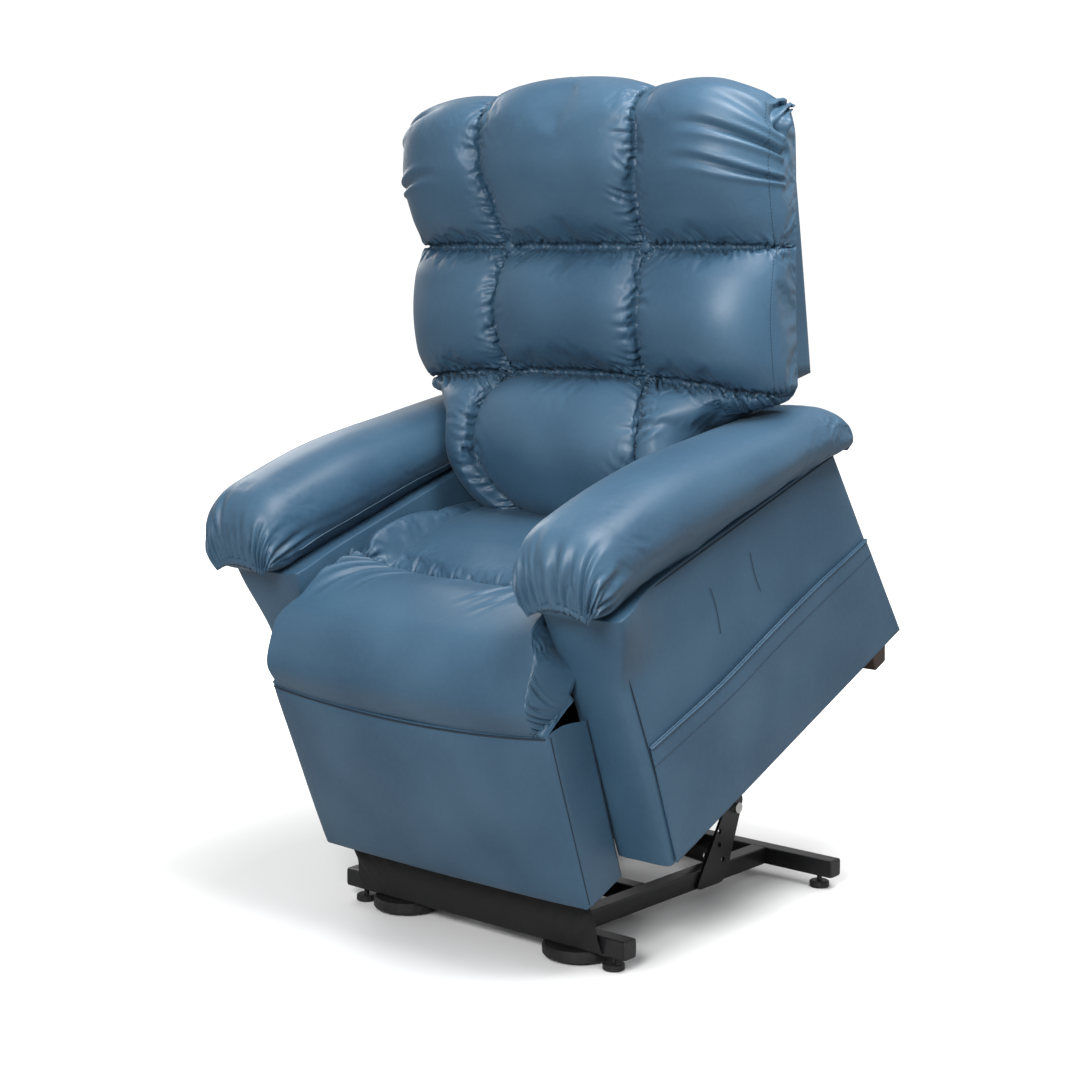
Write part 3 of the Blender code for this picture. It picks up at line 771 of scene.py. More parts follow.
def back_creases():
    """Grooves along both upright seams and both row seams."""
    height = np.zeros_like(U)
    for u in (-1, 1):
        column = int(np.argmin(np.abs(U[0] - u)))
        height += crease(BACK_S - BACK_S[:, column:column + 1], 0.005, 0.0065)
    for v in (1, 2):
        row = int(np.argmin(np.abs(V[:, 0] - v)))
        height += crease(BACK_T - BACK_T[row:row + 1], 0.005, 0.0065)
    return height * np.where(np.abs(U) > 1.999, 0.0, 1.0)


displace(BACK_COVER, U.shape, back_folds() + corner_folds(1.0, BACK_LONG)
         + corner_folds(-1.0, BACK_LONG[::2]) + back_creases())
padded(BACK_COVER, "back", 0.75, "back_pad_upper", "back_pad_middle", "back_pad_lumbar")
print("back cover with its folds", len(BACK_COVER.data.polygons), "faces")

# %% [markdown]
# Each arm has a stuffed roll: a sleeve drawn over the arm box, flat at its foot and crowned on
# top, whose front end is pulled in and pleated onto an arched seam above the front panel.

# %% Arm pads
ARM_INNER, ARM_OUTER = 0.290, 0.482
PAD_RING = 150
PAD_ROWS = 170
PAD_MIDDLE = (ARM_INNER + ARM_OUTER) / 2


def arm_foot(v):
    """Height of the seam under the arm pad."""
    return 0.4868 - 0.0862 * v


def arm_crest(v):
    """Height of the top of the arm pad: nearly level in front, then falling to the rear."""
    past = v - 0.22
    return 0.670 - 0.02 * np.maximum(v, 0.0) - 0.1225 * (past + np.sqrt(past ** 2 + 0.10 ** 2))


def arm_pad_rings():
    """Rings of a flattened superellipse, whose size shrinks at both ends like a rounded cap."""
    turn = np.linspace(0.0, 2.0 * math.pi, PAD_RING, endpoint=False)[None, :]
    t = np.linspace(0.0, 1.0, PAD_ROWS)
    t = t - 0.55 * np.sin(2.0 * math.pi * t) / (2.0 * math.pi)
    v = (-0.050 + 0.778 * t)[:, None]
    front = np.clip((0.060 - v) / 0.110, 0.0, 1.0)
    rear = np.clip((v - 0.676) / 0.052, 0.0, 1.0)
    size = (1.0 - front ** 2.6) ** (1 / 2.6) * (1.0 - rear ** 3.2) ** (1 / 3.2)
    size = np.maximum(size, 0.012)
    low = arm_foot(v) + 0.004
    crest = low + (arm_crest(v) - 0.006 - low) * size
    foot = low + 0.044 * (1.0 - size) * smooth(front * 3.0)
    middle = (crest + foot) / 2
    half = (crest - foot) / 2
    wide = (ARM_OUTER - ARM_INNER) / 2 * (0.66 + 0.34 * size)
    up = np.sin(turn)
    tuck = 1.0 - 0.18 * smooth((-up - 0.25) / 0.75)
    x = np.sign(np.cos(turn)) * np.abs(np.cos(turn)) ** (2 / 2.5) * wide * tuck
    w = middle + np.sign(up) * np.abs(up) ** (2 / 2.4) * half
    w = w + 0.026 * (1.0 - size) * smooth(front * 3.0) * (1.0 - np.abs(np.cos(turn)) ** 2.0)
    return turn + 0 * v, v + 0 * turn, x, w


ARM_TURN, ARM_V, ARM_X, ARM_W = arm_pad_rings()
ARM_PINNED = (np.sin(ARM_TURN) < -0.92) | (ARM_V < -0.045) | (ARM_V > 0.720)


def arm_pleats(seed):
    """Curved pleats that start at the arched seam and run up the rounded front end."""
    rng = np.random.default_rng(seed)
    ring = chair(ARM_X, ARM_V, ARM_W)
    _, reach = lengths(ring)
    middle = (ARM_TURN - math.pi / 2 + math.pi) % (2 * math.pi) - math.pi
    height = np.zeros_like(ARM_X)
    place = -2.05
    while place < 2.05:
        far = rng.uniform(0.080, 0.190)
        bend = rng.normal(0.0, 0.10)
        middle_line = place + bend * (reach / far - 0.3)
        across = (middle - middle_line) * 0.085
        wide = 0.0032 + 0.026 * reach
        fade = smooth(reach / 0.012) * smooth((far - reach) / (0.6 * far))
        bell = np.exp(-(across / wide) ** 2)
        ridge = np.exp(-((np.abs(across) - 2 * wide) / wide) ** 2)
        height += rng.uniform(0.0055, 0.0120) * fade * (0.4 * ridge - bell)
        place += rng.uniform(0.13, 0.27)
    return height


ARM_SEAMS = {}


def roll_line(item):
    """The points along the inner flank of a finished roll, where its two halves are sewn."""
    column = int(np.argmin(np.abs(ARM_TURN[0] - (math.pi + 0.50))))
    rows = np.flatnonzero((ARM_V[:, 0] > 0.035) & (ARM_V[:, 0] < 0.520))
    return points_of(item)[rows * PAD_RING + column]


def arm_pad(name, side, seed):
    """The roll of one arm; side is +1 for the sitter's left and -1 for the right."""
    place = chair(side * (PAD_MIDDLE + ARM_X), ARM_V, ARM_W)
    item = tube(name, place, LEATHER)
    stuff(item, front_only(ARM_PINNED, item), pressure=2.5, shrink=-0.015, frames=8, cap=0.007)
    displace(item, ARM_X.shape, arm_pleats(seed) + rumple(place, seed, 0.25, 0.002))
    ARM_SEAMS[name] = roll_line(item)
    refine(item)
    return item


for side, word, seed in ((1.0, "left", 3), (-1.0, "right", 8)):
    padded(arm_pad("arm_roll_" + word, side, seed), "chair", 0.8, "arm_pad_" + word)

# %% [markdown]
# Below the roll, each arm is a box with a leather skin drawn over a thin pad.  One grid goes
# round it: outer side, front, inner side and rear, with small rounded corners.  The front panel
# flares at its top to meet the arched seam, and the long outer side swells a little.

# %% Arm boxes
ARM_IN, ARM_OUT = 0.312, 0.432
BOX_ROWS = 90


def arm_box_outline():
    """Corner shares round the box: outer side from rear to front, front, inner side, rear."""
    side = np.linspace(0.0, 1.0, 110)
    end = np.linspace(0.0, 1.0, 26)
    along_v = np.concatenate([1 - side, np.zeros(24), side, np.ones(24)])
    across = np.concatenate([np.ones(110), 1 - end[1:-1], np.zeros(110), end[1:-1]])
    return across, along_v


def arm_box(name, side):
    """The leather skin of one arm box."""
    across, depth = arm_box_outline()
    rise = dense(BOX_ROWS, 0.5)[:, None]
    across, depth = across[None, :], depth[None, :]
    front = 0.009 * rise - 0.002
    rear = 0.787 - 0.080 * rise
    v = front + (rear - front) * depth
    top = arm_foot(v) + 0.012
    w = top * rise
    flare = 0.036 * smooth((rise - 0.70) / 0.30) * np.exp(-(depth / 0.12) ** 2)
    outer = ARM_OUT + flare
    inner = ARM_IN - 0.4 * flare
    x = inner + (outer - inner) * across
    full = (np.sqrt(np.clip(1.0 - (2 * depth - 1) ** 6, 0, 1))
            * np.sqrt(np.clip(1 - (2 * rise - 1) ** 6, 0, 1)))
    x = x + np.where(across > 0.999, 0.005 * full, 0.0) - np.where(across < 0.001, 0.003 * full, 0.0)
    cross = np.sqrt(np.clip(1.0 - (2 * across - 1) ** 4, 0, 1))
    v = v - np.where(depth < 0.001, 0.006 * cross, 0.0) + np.where(depth > 0.999, 0.004 * cross, 0.0)
    rings = chair(side * x, v, w)
    return tube(name, rings, LEATHER)


for side, word in ((1.0, "left"), (-1.0, "right")):
    skin = arm_box("arm_box_" + word, side)
    refine(skin)
    padded(skin, "chair", 0.5, "arm_outer_panel_" + word, "arm_inner_panel_" + word,
           "arm_front_panel_" + word, "arm_rear_panel_" + word)

# %% [markdown]
# The seat is a crowned pad whose front edge is gathered into a curved seam, with a bolster
# along each side.  In front of the seam lies the chaise pad, which rolls over the edge of the
# seat and curves down to the footrest.

# %% Seat
SEAT_HALF = 0.303
SEAT_SEAM_V = 0.152


def edge_of(shape):
    """Flags for the outer edge of a grid."""
    flags = np.zeros(shape, bool)
    flags[0, :] = flags[-1, :] = True
    flags[:, 0] = flags[:, -1] = True
    return flags


def seat_pad():
    """Crowned seat with a bolster along each side: a grid of x and share of depth."""
    x = (2 * dense(141, 0.4) - 1)[None, :] * SEAT_HALF
    t = dense(101, 0.6)[:, None]
    v = SEAT_SEAM_V + (0.505 - SEAT_SEAM_V) * t + 0 * x
    middle = along(t, (0, 0.418), (0.1, 0.432), (0.35, 0.436), (0.7, 0.418), (1, 0.385)) + 0 * x
    ridge = along(t, (0, 0.470), (0.12, 0.490), (0.3, 0.484), (0.6, 0.448), (1, 0.392)) + 0 * x
    bolster = smooth((np.abs(x) - 0.232) / 0.040)
    crease = np.exp(-((np.abs(x) - 0.240) / 0.007) ** 2) * smooth(t / 0.10)
    w = middle + (ridge - middle) * bolster - 0.012 * crease
    side = np.sqrt(np.clip(1.0 - (np.abs(x) / SEAT_HALF) ** 10, 0, 1))
    ends = np.sqrt(np.clip(1.0 - np.abs(2 * t - 1) ** 12, 0, 1))
    w = w - 0.050 * (1 - side) - 0.012 * (1 - ends)
    top = chair(x + 0 * t, v, w)
    under = chair(x + 0 * t, v, 0.222 + 0 * w)
    edge = edge_of(w.shape)
    under[edge] = top[edge]
    return x + 0 * t, top, under


SEAT_X, SEAT_TOP, SEAT_UNDER = seat_pad()
SEAT = pillow("seat_pad", SEAT_TOP, SEAT_UNDER, LEATHER)
SEAT_LINES = edge_of(SEAT_X.shape) | (np.abs(np.abs(SEAT_X) - 0.240) < 0.004)
stuff(SEAT, front_only(SEAT_LINES, SEAT), pressure=2.0, shrink=-0.02, frames=8, cap=0.007)
SEAT = finer_pillow(SEAT, SEAT_X.shape, wider)
SEAT_S, SEAT_L = lengths(wider(SEAT_TOP))
SEAT_SEAM = np.stack([SEAT_S[0], SEAT_L[0]], -1)
SEAT_GATHER = gather(SEAT_S, SEAT_L, SEAT_SEAM, 1.0, 71, 0.0100, 0.045, 0.0050, 0.0030, 0.45)
SEAT_GATHER += gather(SEAT_S, SEAT_L, SEAT_SEAM, 1.0, 72, 0.034, 0.110, 0.0040, 0.0045, 0.55)
displace(SEAT, SEAT_S.shape, SEAT_GATHER)
padded(SEAT, "chair", 0.6, "seat_cushion")
print("seat seam", round(float(SEAT_S[0].max()), 3), "m long")

# %% [markdown]
# The chaise pad starts at the seat's seam, rolls over the front and ends in a sagging seam at the
# footrest.  It is drawn as side views that are mixed across its width.

# %% Chaise pad
CHAISE_HALF = 0.338
CHAISE_SIDE = 0.085


def seam_w(x):
    """Height of the sagging seam between chaise pad and footrest."""
    return 0.300 + 0.020 * (np.abs(x) / CHAISE_HALF) ** 2


def chaise_face(share, t):
    """The face of the chaise pad: side views in the middle and at the sides, mixed by x squared.
    Its width grows where it stands in front of the arms."""
    half = 0.302 + (CHAISE_HALF - 0.302) * smooth((t - 0.46) / 0.16)
    side = share ** 2
    middle_v = along(t, (0, SEAT_SEAM_V), (0.10, 0.130), (0.3, 0.062), (0.5, -0.018), (0.68, -0.078),
                     (0.84, -0.110), (1, -0.106))
    middle_w = along(t, (0, 0.418), (0.10, 0.436), (0.3, 0.455), (0.5, 0.444), (0.68, 0.402),
                     (0.84, 0.350), (1, 0.300))
    side_v = along(t, (0, SEAT_SEAM_V), (0.10, 0.130), (0.3, 0.062), (0.5, -0.016), (0.68, -0.074),
                   (0.84, -0.108), (1, -0.102))
    side_w = along(t, (0, 0.470), (0.10, 0.474), (0.3, 0.474), (0.5, 0.456), (0.68, 0.412),
                   (0.84, 0.366), (1, 0.320))
    rise = share ** 4
    return half, middle_v + (side_v - middle_v) * side, middle_w + (side_w - middle_w) * rise


def chaise_pad():
    """Grid of U across, with both side walls, and share of length, over a flat inside."""
    u = np.linspace(-1.0, 1.0, 171)[None, :]
    t = dense(121, 0.5)[:, None]
    angle = np.abs(u)
    flat = np.clip(angle / 0.80, 0.0, 1.0)
    wall = np.clip((angle - 0.72) / 0.28, 0.0, 1.0)
    share = np.where(angle < 0.72, angle / 0.72 * 0.93, 0.93 + 0.07 * wall)
    drop = 1.0 - np.cos(wall * math.pi / 2) ** 0.9
    half, v, w = chaise_face(share, t)
    x = np.sign(u) * share * half
    face = chair(x, v + 0 * x, w + 0 * x)
    out = normals(face)
    if out[60, 85, 2] < 0:
        out = -out
    heart = chair(x * 0.995, 0.055 + 0 * x, 0.345 + 0 * x)
    inward = heart - face
    inward[..., 0] = 0.0
    inward /= np.maximum(np.linalg.norm(inward, axis=-1, keepdims=True), 1e-6)
    face = face + inward * (CHAISE_SIDE * drop * smooth(t / 0.06) * smooth((1 - t) / 0.05))[..., None]
    crown = np.sqrt(np.clip(np.sin(np.pi * t), 0, 1)) * (1 - drop)
    face = face + out * (0.012 * crown + 0 * x)[..., None]
    inside = chair(x * 0.98, np.clip(v, -0.040, 0.100) + 0 * x, 0.330 + 0 * x)
    edge = edge_of(x.shape)
    inside[edge] = face[edge]
    return u + 0 * t, t + 0 * u, face, inside


CHAISE_U, CHAISE_T, CHAISE_FACE, CHAISE_INSIDE = chaise_pad()
CHAISE = pillow("chaise_cover", CHAISE_FACE, CHAISE_INSIDE, LEATHER)
stuff(CHAISE, front_only(edge_of(CHAISE_U.shape), CHAISE), pressure=2.5, shrink=-0.02, frames=8,
      cap=0.008)
CHAISE = finer_pillow(CHAISE, CHAISE_U.shape, wider)
CHAISE_FINE = wider(CHAISE_FACE)
CHAISE_U, CHAISE_T = wider(CHAISE_U), wider(CHAISE_T)
CHAISE_S, CHAISE_L = lengths(CHAISE_FINE)
CHAISE_MID = float(CHAISE_S[0].max()) / 2
CHAISE_FOLDS = [((0.250, 0.004), (0.165, 0.170), 0.0110, 0.007, 0.014),
                ((0.195, 0.004), (0.120, 0.150), 0.0100, 0.007, 0.012),
                ((-0.175, 0.004), (-0.260, 0.220), 0.0100, 0.008, -0.018),
                ((-0.105, 0.004), (-0.205, 0.200), 0.0090, 0.008, -0.016),
                ((-0.050, 0.010), (-0.130, 0.160), 0.0060, 0.007, -0.012),
                ((-0.235, 0.010), (-0.300, 0.160), 0.0090, 0.007, -0.012),
                ((0.285, 0.010), (0.235, 0.130), 0.0080, 0.006, 0.010),
                ((0.060, 0.006), (0.000, 0.100), 0.0050, 0.006, 0.006)]
CHAISE_HEIGHT = sum(fold(CHAISE_S - CHAISE_MID, CHAISE_L, *stroke) for stroke in CHAISE_FOLDS)
CHAISE_HEIGHT += gather(CHAISE_S, CHAISE_L, np.stack([CHAISE_S[0], CHAISE_L[0]], -1), 1.0, 83, 0.020,
                        0.060, 0.0042, 0.0036, -0.45)
SIDE_COLUMN = 300
SIDE_LINE = np.stack([CHAISE_S[:, SIDE_COLUMN], CHAISE_L[:, SIDE_COLUMN]], -1)
CHAISE_HEIGHT += (CHAISE_U > 0.7) * gather(CHAISE_S, CHAISE_L, SIDE_LINE, -1.0, 85, 0.016, 0.060,
                                           0.0050, 0.0035)
displace(CHAISE, CHAISE_U.shape, CHAISE_HEIGHT + rumple(CHAISE_FINE, 17, 0.22, 0.002)
         * np.sin(np.pi * CHAISE_T))
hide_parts("chaise_pad")
tuple(chair(0.0, -0.02, 0.43))
tuple(chair(0.0, -0.10, 0.33))
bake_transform(CHAISE)

# %% [markdown]
# The footrest hangs in front of the seat.  Its leather is a shallow box: a faintly crowned face
# with flat flaps at the sides, pulled tight over a board.

# %% Footrest
FOOT_HALF = 0.326


def footrest_cover():
    """Grid of U across, which turns back along the flaps, and share of height from the sagging
    seam to the hem; behind it a second grid closes the box."""
    u = np.linspace(-1.0, 1.0, 181)[None, :]
    t = dense(101, 0.45)[:, None]
    angle = np.abs(u)
    wall = np.clip((angle - 0.78) / 0.22, 0.0, 1.0)
    half = CHAISE_HALF + (FOOT_HALF - CHAISE_HALF) * t
    bend = np.sin(np.clip(wall / 0.16, 0, 1) * math.pi / 2)
    share = np.where(angle < 0.78, angle / 0.78 * 0.985, 0.985 + 0.015 * bend)
    x = np.sign(u) * share * half
    side = share ** 2
    top = seam_w(x)
    w = top + (-0.030 - top) * t
    v = -0.106 + 0.004 * side - 0.020 * t - 0.010 * np.sin(np.pi * t) * (1 - side)
    flap = -0.022 + 0.018 * (1 - t) + 0 * x
    v = v + (flap - v) * np.clip(wall - 0.06 * (1 - bend), 0, 1)
    w = w - 0.030 * wall * (1 - t) * smooth(wall)
    face = chair(x, v, w)
    crown = 0.008 * np.sqrt(np.clip(1 - share ** 8, 0, 1)) * swell(t, 10.0)
    face = face + crown[..., None] * (chair(0.0, -1.0, 0.0) - chair(0.0, 0.0, 0.0))
    back = chair(x * 0.985, np.maximum(v, -0.108), w)
    edge = edge_of(x.shape)
    back[edge] = face[edge]
    return u + 0 * t, t + 0 * u, face, back


FOOT_U, FOOT_T, FOOT_FACE, FOOT_BACK = footrest_cover()
FOOT = pillow("footrest_cover", FOOT_FACE, FOOT_BACK, LEATHER)
displace(FOOT, FOOT_U.shape, rumple(FOOT_FACE, 23, 0.30, 0.0015) * swell(FOOT_T, 4.0))
padded(FOOT, "footrest", 0.5, "footrest_pad")
print("footrest", len(FOOT.data.polygons), "faces")

# %% [markdown]
# Behind the back cushions stands the outer back: a flat upholstered shell.

# %% Outer back
def shell_y(z):
    """Depth of the outer face of the back at a height."""
    return 0.435 + (1.443 - z) * 0.1926


def back_shell():
    """Rings of a rounded rectangle in plan, rising from the arms to the top."""
    turn = np.linspace(0.0, 2 * math.pi, 140, endpoint=False)[None, :]
    rise = dense(60, 0.6)[:, None]
    z = 0.805 + (1.500 - 0.805) * rise
    half = along(z, (0.80, 0.268), (1.00, 0.272), (1.03, 0.372), (1.40, 0.376), (1.47, 0.370),
                 (1.50, 0.352))
    rear = shell_y(z) - 0.001
    front = along(z, (0.80, 0.455), (1.02, 0.410), (1.03, 0.372), (1.50, 0.356))
    x = np.sign(np.cos(turn)) * np.abs(np.cos(turn)) ** (2 / 14) * half
    deep = np.sign(np.sin(turn)) * np.abs(np.sin(turn)) ** (2 / 14)
    y = (rear + front) / 2 + deep * (rear - front) / 2
    return world(x, y, z + 0 * turn)


SHELL = tube("back_outer_cover", back_shell(), LEATHER)
padded(SHELL, "back", 0.4, "back_shell")
print("outer back", len(SHELL.data.polygons), "faces")

# %% [markdown]
# Steel, plastic, cloth and timber keep their CAD shape.  Each gets its own finish with uneven
# gloss, and the slot that the record gives to a node says which one.

# %% Plain finishes
def plain(name, color, rough, metal, coarse, fine):
    """A painted, plastic or metal finish with uneven gloss and a fine texture."""
    made, tree, shader = new_material(name)
    dark = tuple(0.75 * c for c in color)
    light = tuple(min(1.0, 1.3 * c) for c in color)
    slow = pattern(tree, "noise", coarse, 2.0)
    tree.links.new(ramp(tree, slow, [(0.3, dark), (0.7, light)]), shader.inputs["Base Color"])
    tree.links.new(level(tree, slow, rough * 0.8, rough * 1.25), shader.inputs["Roughness"])
    shader.inputs["Metallic"].default_value = metal
    bumps(tree, shader, [(pattern(tree, "noise", fine, 2.0), 0.2, 0.0002)])
    return made


FINISHES = {
    "black_paint": plain("black_powder_coat", (0.010, 0.010, 0.011), 0.34, 0.0, 12.0, 900.0),
    "black_plastic": plain("black_moulding", (0.011, 0.011, 0.012), 0.45, 0.0, 15.0, 1200.0),
    "black_cloth": plain("black_dust_cloth", (0.008, 0.008, 0.009), 0.85, 0.0, 30.0, 1500.0),
    "bright_steel": plain("zinc_plated_steel", (0.58, 0.58, 0.57), 0.28, 1.0, 40.0, 800.0),
    "timber": plain("black_stained_plywood", (0.016, 0.013, 0.011), 0.65, 0.0, 20.0, 300.0),
    "walnut": plain("stained_walnut", (0.050, 0.026, 0.016), 0.40, 0.0, 25.0, 300.0),
}
THREAD = plain("navy_thread", (0.006, 0.016, 0.030), 0.60, 0.0, 60.0, 2000.0)
# The inner arm seam is real, but its thread is paler than the leather: that pale colour is a painted highlight
# along the seam.
PAINTED_HIGHLIGHT_THREAD = plain("pale_thread_painted_highlight", (0.085, 0.150, 0.215), 0.60, 0.0, 60.0, 2000.0)
for subpart in frame["record"]["subparts"]:
    node = NODES[subpart["node"]]
    if not node.hide_render:
        node.data.materials.clear()
        node.data.materials.append(FINISHES[subpart["material_slot"]])
print(len(FINISHES), "plain finishes")

# %% [markdown]
# Seams on the arms and sides are sewn lines.  Each is a thin, half sunken thread: a small oval
# section carried along the line, with its directions across worked out at every point.

# %% Lines and stitches
def frame_along(line, up):
    """Two unit directions across a line of points: up made square to the line, and its cross."""
    line = np.asarray(line, float)
    run = np.gradient(line, axis=0)
    run /= np.maximum(np.linalg.norm(run, axis=1, keepdims=True), 1e-12)
    up = np.broadcast_to(np.asarray(up, float), line.shape)
    up = up - run * np.sum(up * run, axis=1, keepdims=True)
    up = up / np.maximum(np.linalg.norm(up, axis=1, keepdims=True), 1e-12)
    return line, run, up, np.cross(run, up)


def swept(name, line, up, wide, high, material, count=8):
    """An oval section swept along a line: its points are the line plus cos and sin of an angle
    times the two directions across."""
    line, _, up, across = frame_along(line, up)
    turn = np.linspace(0.0, 2 * math.pi, count, endpoint=False)
    offset = (np.cos(turn)[None, :, None] * across[:, None] * wide
              + np.sin(turn)[None, :, None] * up[:, None] * high)
    return tube(name, line[:, None] + offset, material)


def dressed(item, body):
    """A small piece that rides on a body."""
    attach(item, body)
    return item


def stitches(name, line, up, length, gap, radius, material):
    """A row of short stitches lying on a line: each is a box tapered at both ends."""
    line = np.asarray(line, float)
    far = np.concatenate([[0.0], np.cumsum(np.linalg.norm(np.diff(line, axis=0), axis=1))])
    starts = np.arange(0.0, far[-1] - length, length + gap)
    stations = np.array([0.0, 0.25, 0.75, 1.0]) * length
    spot = (starts[:, None] + stations[None, :]).ravel()
    centre = np.stack([np.interp(spot, far, line[:, k]) for k in range(3)], -1)
    up = np.broadcast_to(up, line.shape)
    lift = np.stack([np.interp(spot, far, up[:, k]) for k in range(3)], -1)
    run = np.stack([np.interp(spot + 0.001, far, line[:, k]) for k in range(3)], -1) - centre
    run /= np.maximum(np.linalg.norm(run, axis=1, keepdims=True), 1e-9)
    side = np.cross(run, lift)
    thick = np.tile(np.array([0.25, 1.0, 1.0, 0.25]) * radius, len(starts))[:, None]
    corners = [centre + (a * side + b * lift) * thick for a, b in ((1, 0), (0, 1), (-1, 0), (0, -1))]
    points = np.stack(corners, 1).reshape(-1, 3)
    first = (np.arange(len(starts)) * 16)[:, None, None, None]
    ring = first + (np.arange(3) * 4)[None, :, None, None]
    k = np.arange(4)[None, None, :, None]
    after = (k + 1) % 4
    quads = np.concatenate([ring + k, ring + after, ring + 4 + after, ring + 4 + k], -1).reshape(-1, 4)
    ends = np.concatenate([first[:, 0, 0] + np.array([3, 2, 1, 0]),
                           first[:, 0, 0] + np.array([12, 13, 14, 15])])
    return piece(name, points, outward(points, np.concatenate([quads, ends])).tolist(), material)


# %% Arm seams
def arm_lines(word, side):
    """Seams on one arm: under the roll outside and inside, and down the front corner."""
    v = np.linspace(0.03, 0.70, 60)
    outer = chair(side * (ARM_OUT + 0.004), v, arm_foot(v) + 0.005)
    rise = np.linspace(0.02, 0.455, 40)
    corner = chair(side * (ARM_OUT + 0.0035), 0.016 + 0.012 * rise, rise)
    out = np.array([side, 0.0, 0.0])
    dressed(swept("arm_seam_outer_" + word, outer, out, 0.0011, 0.0012, THREAD), "chair")
    inner = ARM_SEAMS["arm_roll_" + word] - out * 0.0002
    # The inner seam is drawn in the pale thread, which paints a highlight along the real seam line.
    dressed(swept("arm_seam_inner_" + word, inner, -out, 0.0008, 0.0009, PAINTED_HIGHLIGHT_THREAD), "chair")
    dressed(swept("arm_seam_front_" + word, corner, out, 0.0010, 0.0012, THREAD), "chair")


for side, word in ((1.0, "left"), (-1.0, "right")):
    arm_lines(word, side)


def flat_line(name, x, start, end, bend):
    """A short sunken line on an arm's outer side, from (v, w) to (v, w), bowed by bend."""
    t = np.linspace(0.0, 1.0, 16)
    v = start[0] + (end[0] - start[0]) * t + bend * 4 * t * (1 - t)
    w = start[1] + (end[1] - start[1]) * t
    out = (math.copysign(1.0, x), 0.0, 0.0)
    dressed(swept(name, chair(x, v, w), out, 0.0005, 0.0006, THREAD), "chair")


for side, word in ((1.0, "left"), (-1.0, "right")):
    flat_line("pucker_front_" + word, side * 0.4385, (0.272, 0.400), (0.268, 0.310), 0.004)
    flat_line("pucker_rear_" + word, side * 0.4385, (0.400, 0.398), (0.402, 0.318), -0.004)
    flat_line("corner_tick_" + word, side * 0.4370, (0.021, 0.455), (0.036, 0.468), 0.0)

# %% [markdown]
# The footrest's leather is closed by a seam under the chaise pad and one down each front edge.
# They are read off its own finished grid, so that they lie on it.

# %% Footrest seams
def foot_seams():
    """Lines on the footrest's grid: its top seam, and both front edges down to the hem."""
    grid = points_of(FOOT)[:FOOT_U.size].reshape(*FOOT_U.shape, 3)
    out = chair(0.0, -1.0, 0.0) - chair(0.0, 0.0, 0.0)
    wide = np.abs(FOOT_U[0]) < 0.78
    dressed(swept("footrest_top_seam", grid[2, wide] + out * 0.0015, out, 0.0018, 0.0016, THREAD), "footrest")
    for side, word in ((1.0, "left"), (-1.0, "right")):
        column = int(np.argmin(np.abs(FOOT_U[0] - 0.80 * side)))
        line = grid[3:-3, column] + np.array([0.0004 * side, 0.0, 0.0])
        dressed(swept("footrest_edge_seam_" + word, line, (side, -1.0, 0.0), 0.0008, 0.0009, THREAD), "footrest")


foot_seams()

# %% [markdown]
# The outer side of the left arm carries a wide pocket.  It is a second layer of leather that
# covers the lower half of the side: sewn down in front, below and behind, and slack at its lip.

# %% Side pocket
POCKET_TOP = 0.236


def side_pocket():
    """Front face of the pocket and a rear face one skin's thickness behind it."""
    t = dense(121, 0.4)[None, :]
    rise = dense(61, 0.3)[:, None]
    front = 0.006 + 0.016 * rise
    rear = 0.784 - 0.044 * rise
    v = front + (rear - front) * t
    lip = POCKET_TOP + 0.004 * np.sin(np.pi * t) - 0.006 * np.sin(2 * np.pi * t) * np.sin(np.pi * t)
    w = 0.004 + (lip - 0.004) * rise
    side = np.sqrt(np.clip(np.sin(np.pi * np.clip(t, 0, 1)), 0, 1))
    slack = 0.0055 + 0.0075 * side * smooth((rise - 0.45) / 0.55) + 0.004 * side * np.sin(np.pi * rise)
    ripple = 0.0012 * np.sin(14.0 * t + 5.0 * rise) * np.sin(np.pi * t) * rise
    outer = chair(ARM_OUT + slack + ripple, v, w)
    inner = chair(ARM_OUT + slack + ripple - 0.0035, v, w)
    edge = edge_of(outer.shape[:2])
    inner[edge] = outer[edge]
    return outer, inner


POCKET_FACE, POCKET_LINING = side_pocket()
POCKET = pillow("side_pocket", POCKET_FACE, POCKET_LINING, LEATHER)
dressed(POCKET, "chair")
print("pocket", len(POCKET.data.polygons), "faces")
LIP = POCKET_FACE[-3] + np.array([0.0012, 0.0, 0.0])
HEM = POCKET_FACE[-14] + np.array([0.0006, 0.0, 0.0])
dressed(swept("pocket_lip", LIP, (1.0, 0.0, 0.0), 0.0022, 0.0016, LEATHER), "chair")
dressed(stitches("pocket_stitches", HEM, (1.0, 0.0, 0.0), 0.0045, 0.0022, 0.0006, THREAD), "chair")

# %% [markdown]
# Each button is a leather-covered dome that is tied through the back where the seams cross.

# %% Back buttons and boxing stitches
BACK_NOW, BACK_OUT = (points_of(BACK_COVER, what)[:U.size].reshape(*U.shape, 3)
                      for what in ("co", "normal"))


def button(name, u):
    """A dome: radius times sine across, and height times cosine out, closed by a flat rear."""
    row, column = int(np.argmin(np.abs(V[:, 0] - 2))), int(np.argmin(np.abs(U[0] - u)))
    centre = BACK_NOW[row, column] + np.array([0.0, -0.010, 0.0])
    angle = np.linspace(0.06, math.pi - 0.06, 24)[:, None]
    turn = np.linspace(0, 2 * math.pi, 32, endpoint=False)[None, :]
    deep = np.where(np.cos(angle) > 0, 0.007, 0.004) * np.cos(angle)
    return tube(name, centre + np.stack([0.0125 * np.sin(angle) * np.cos(turn), -deep + 0 * turn,
                                         0.0125 * np.sin(angle) * np.sin(turn)], -1), LEATHER)


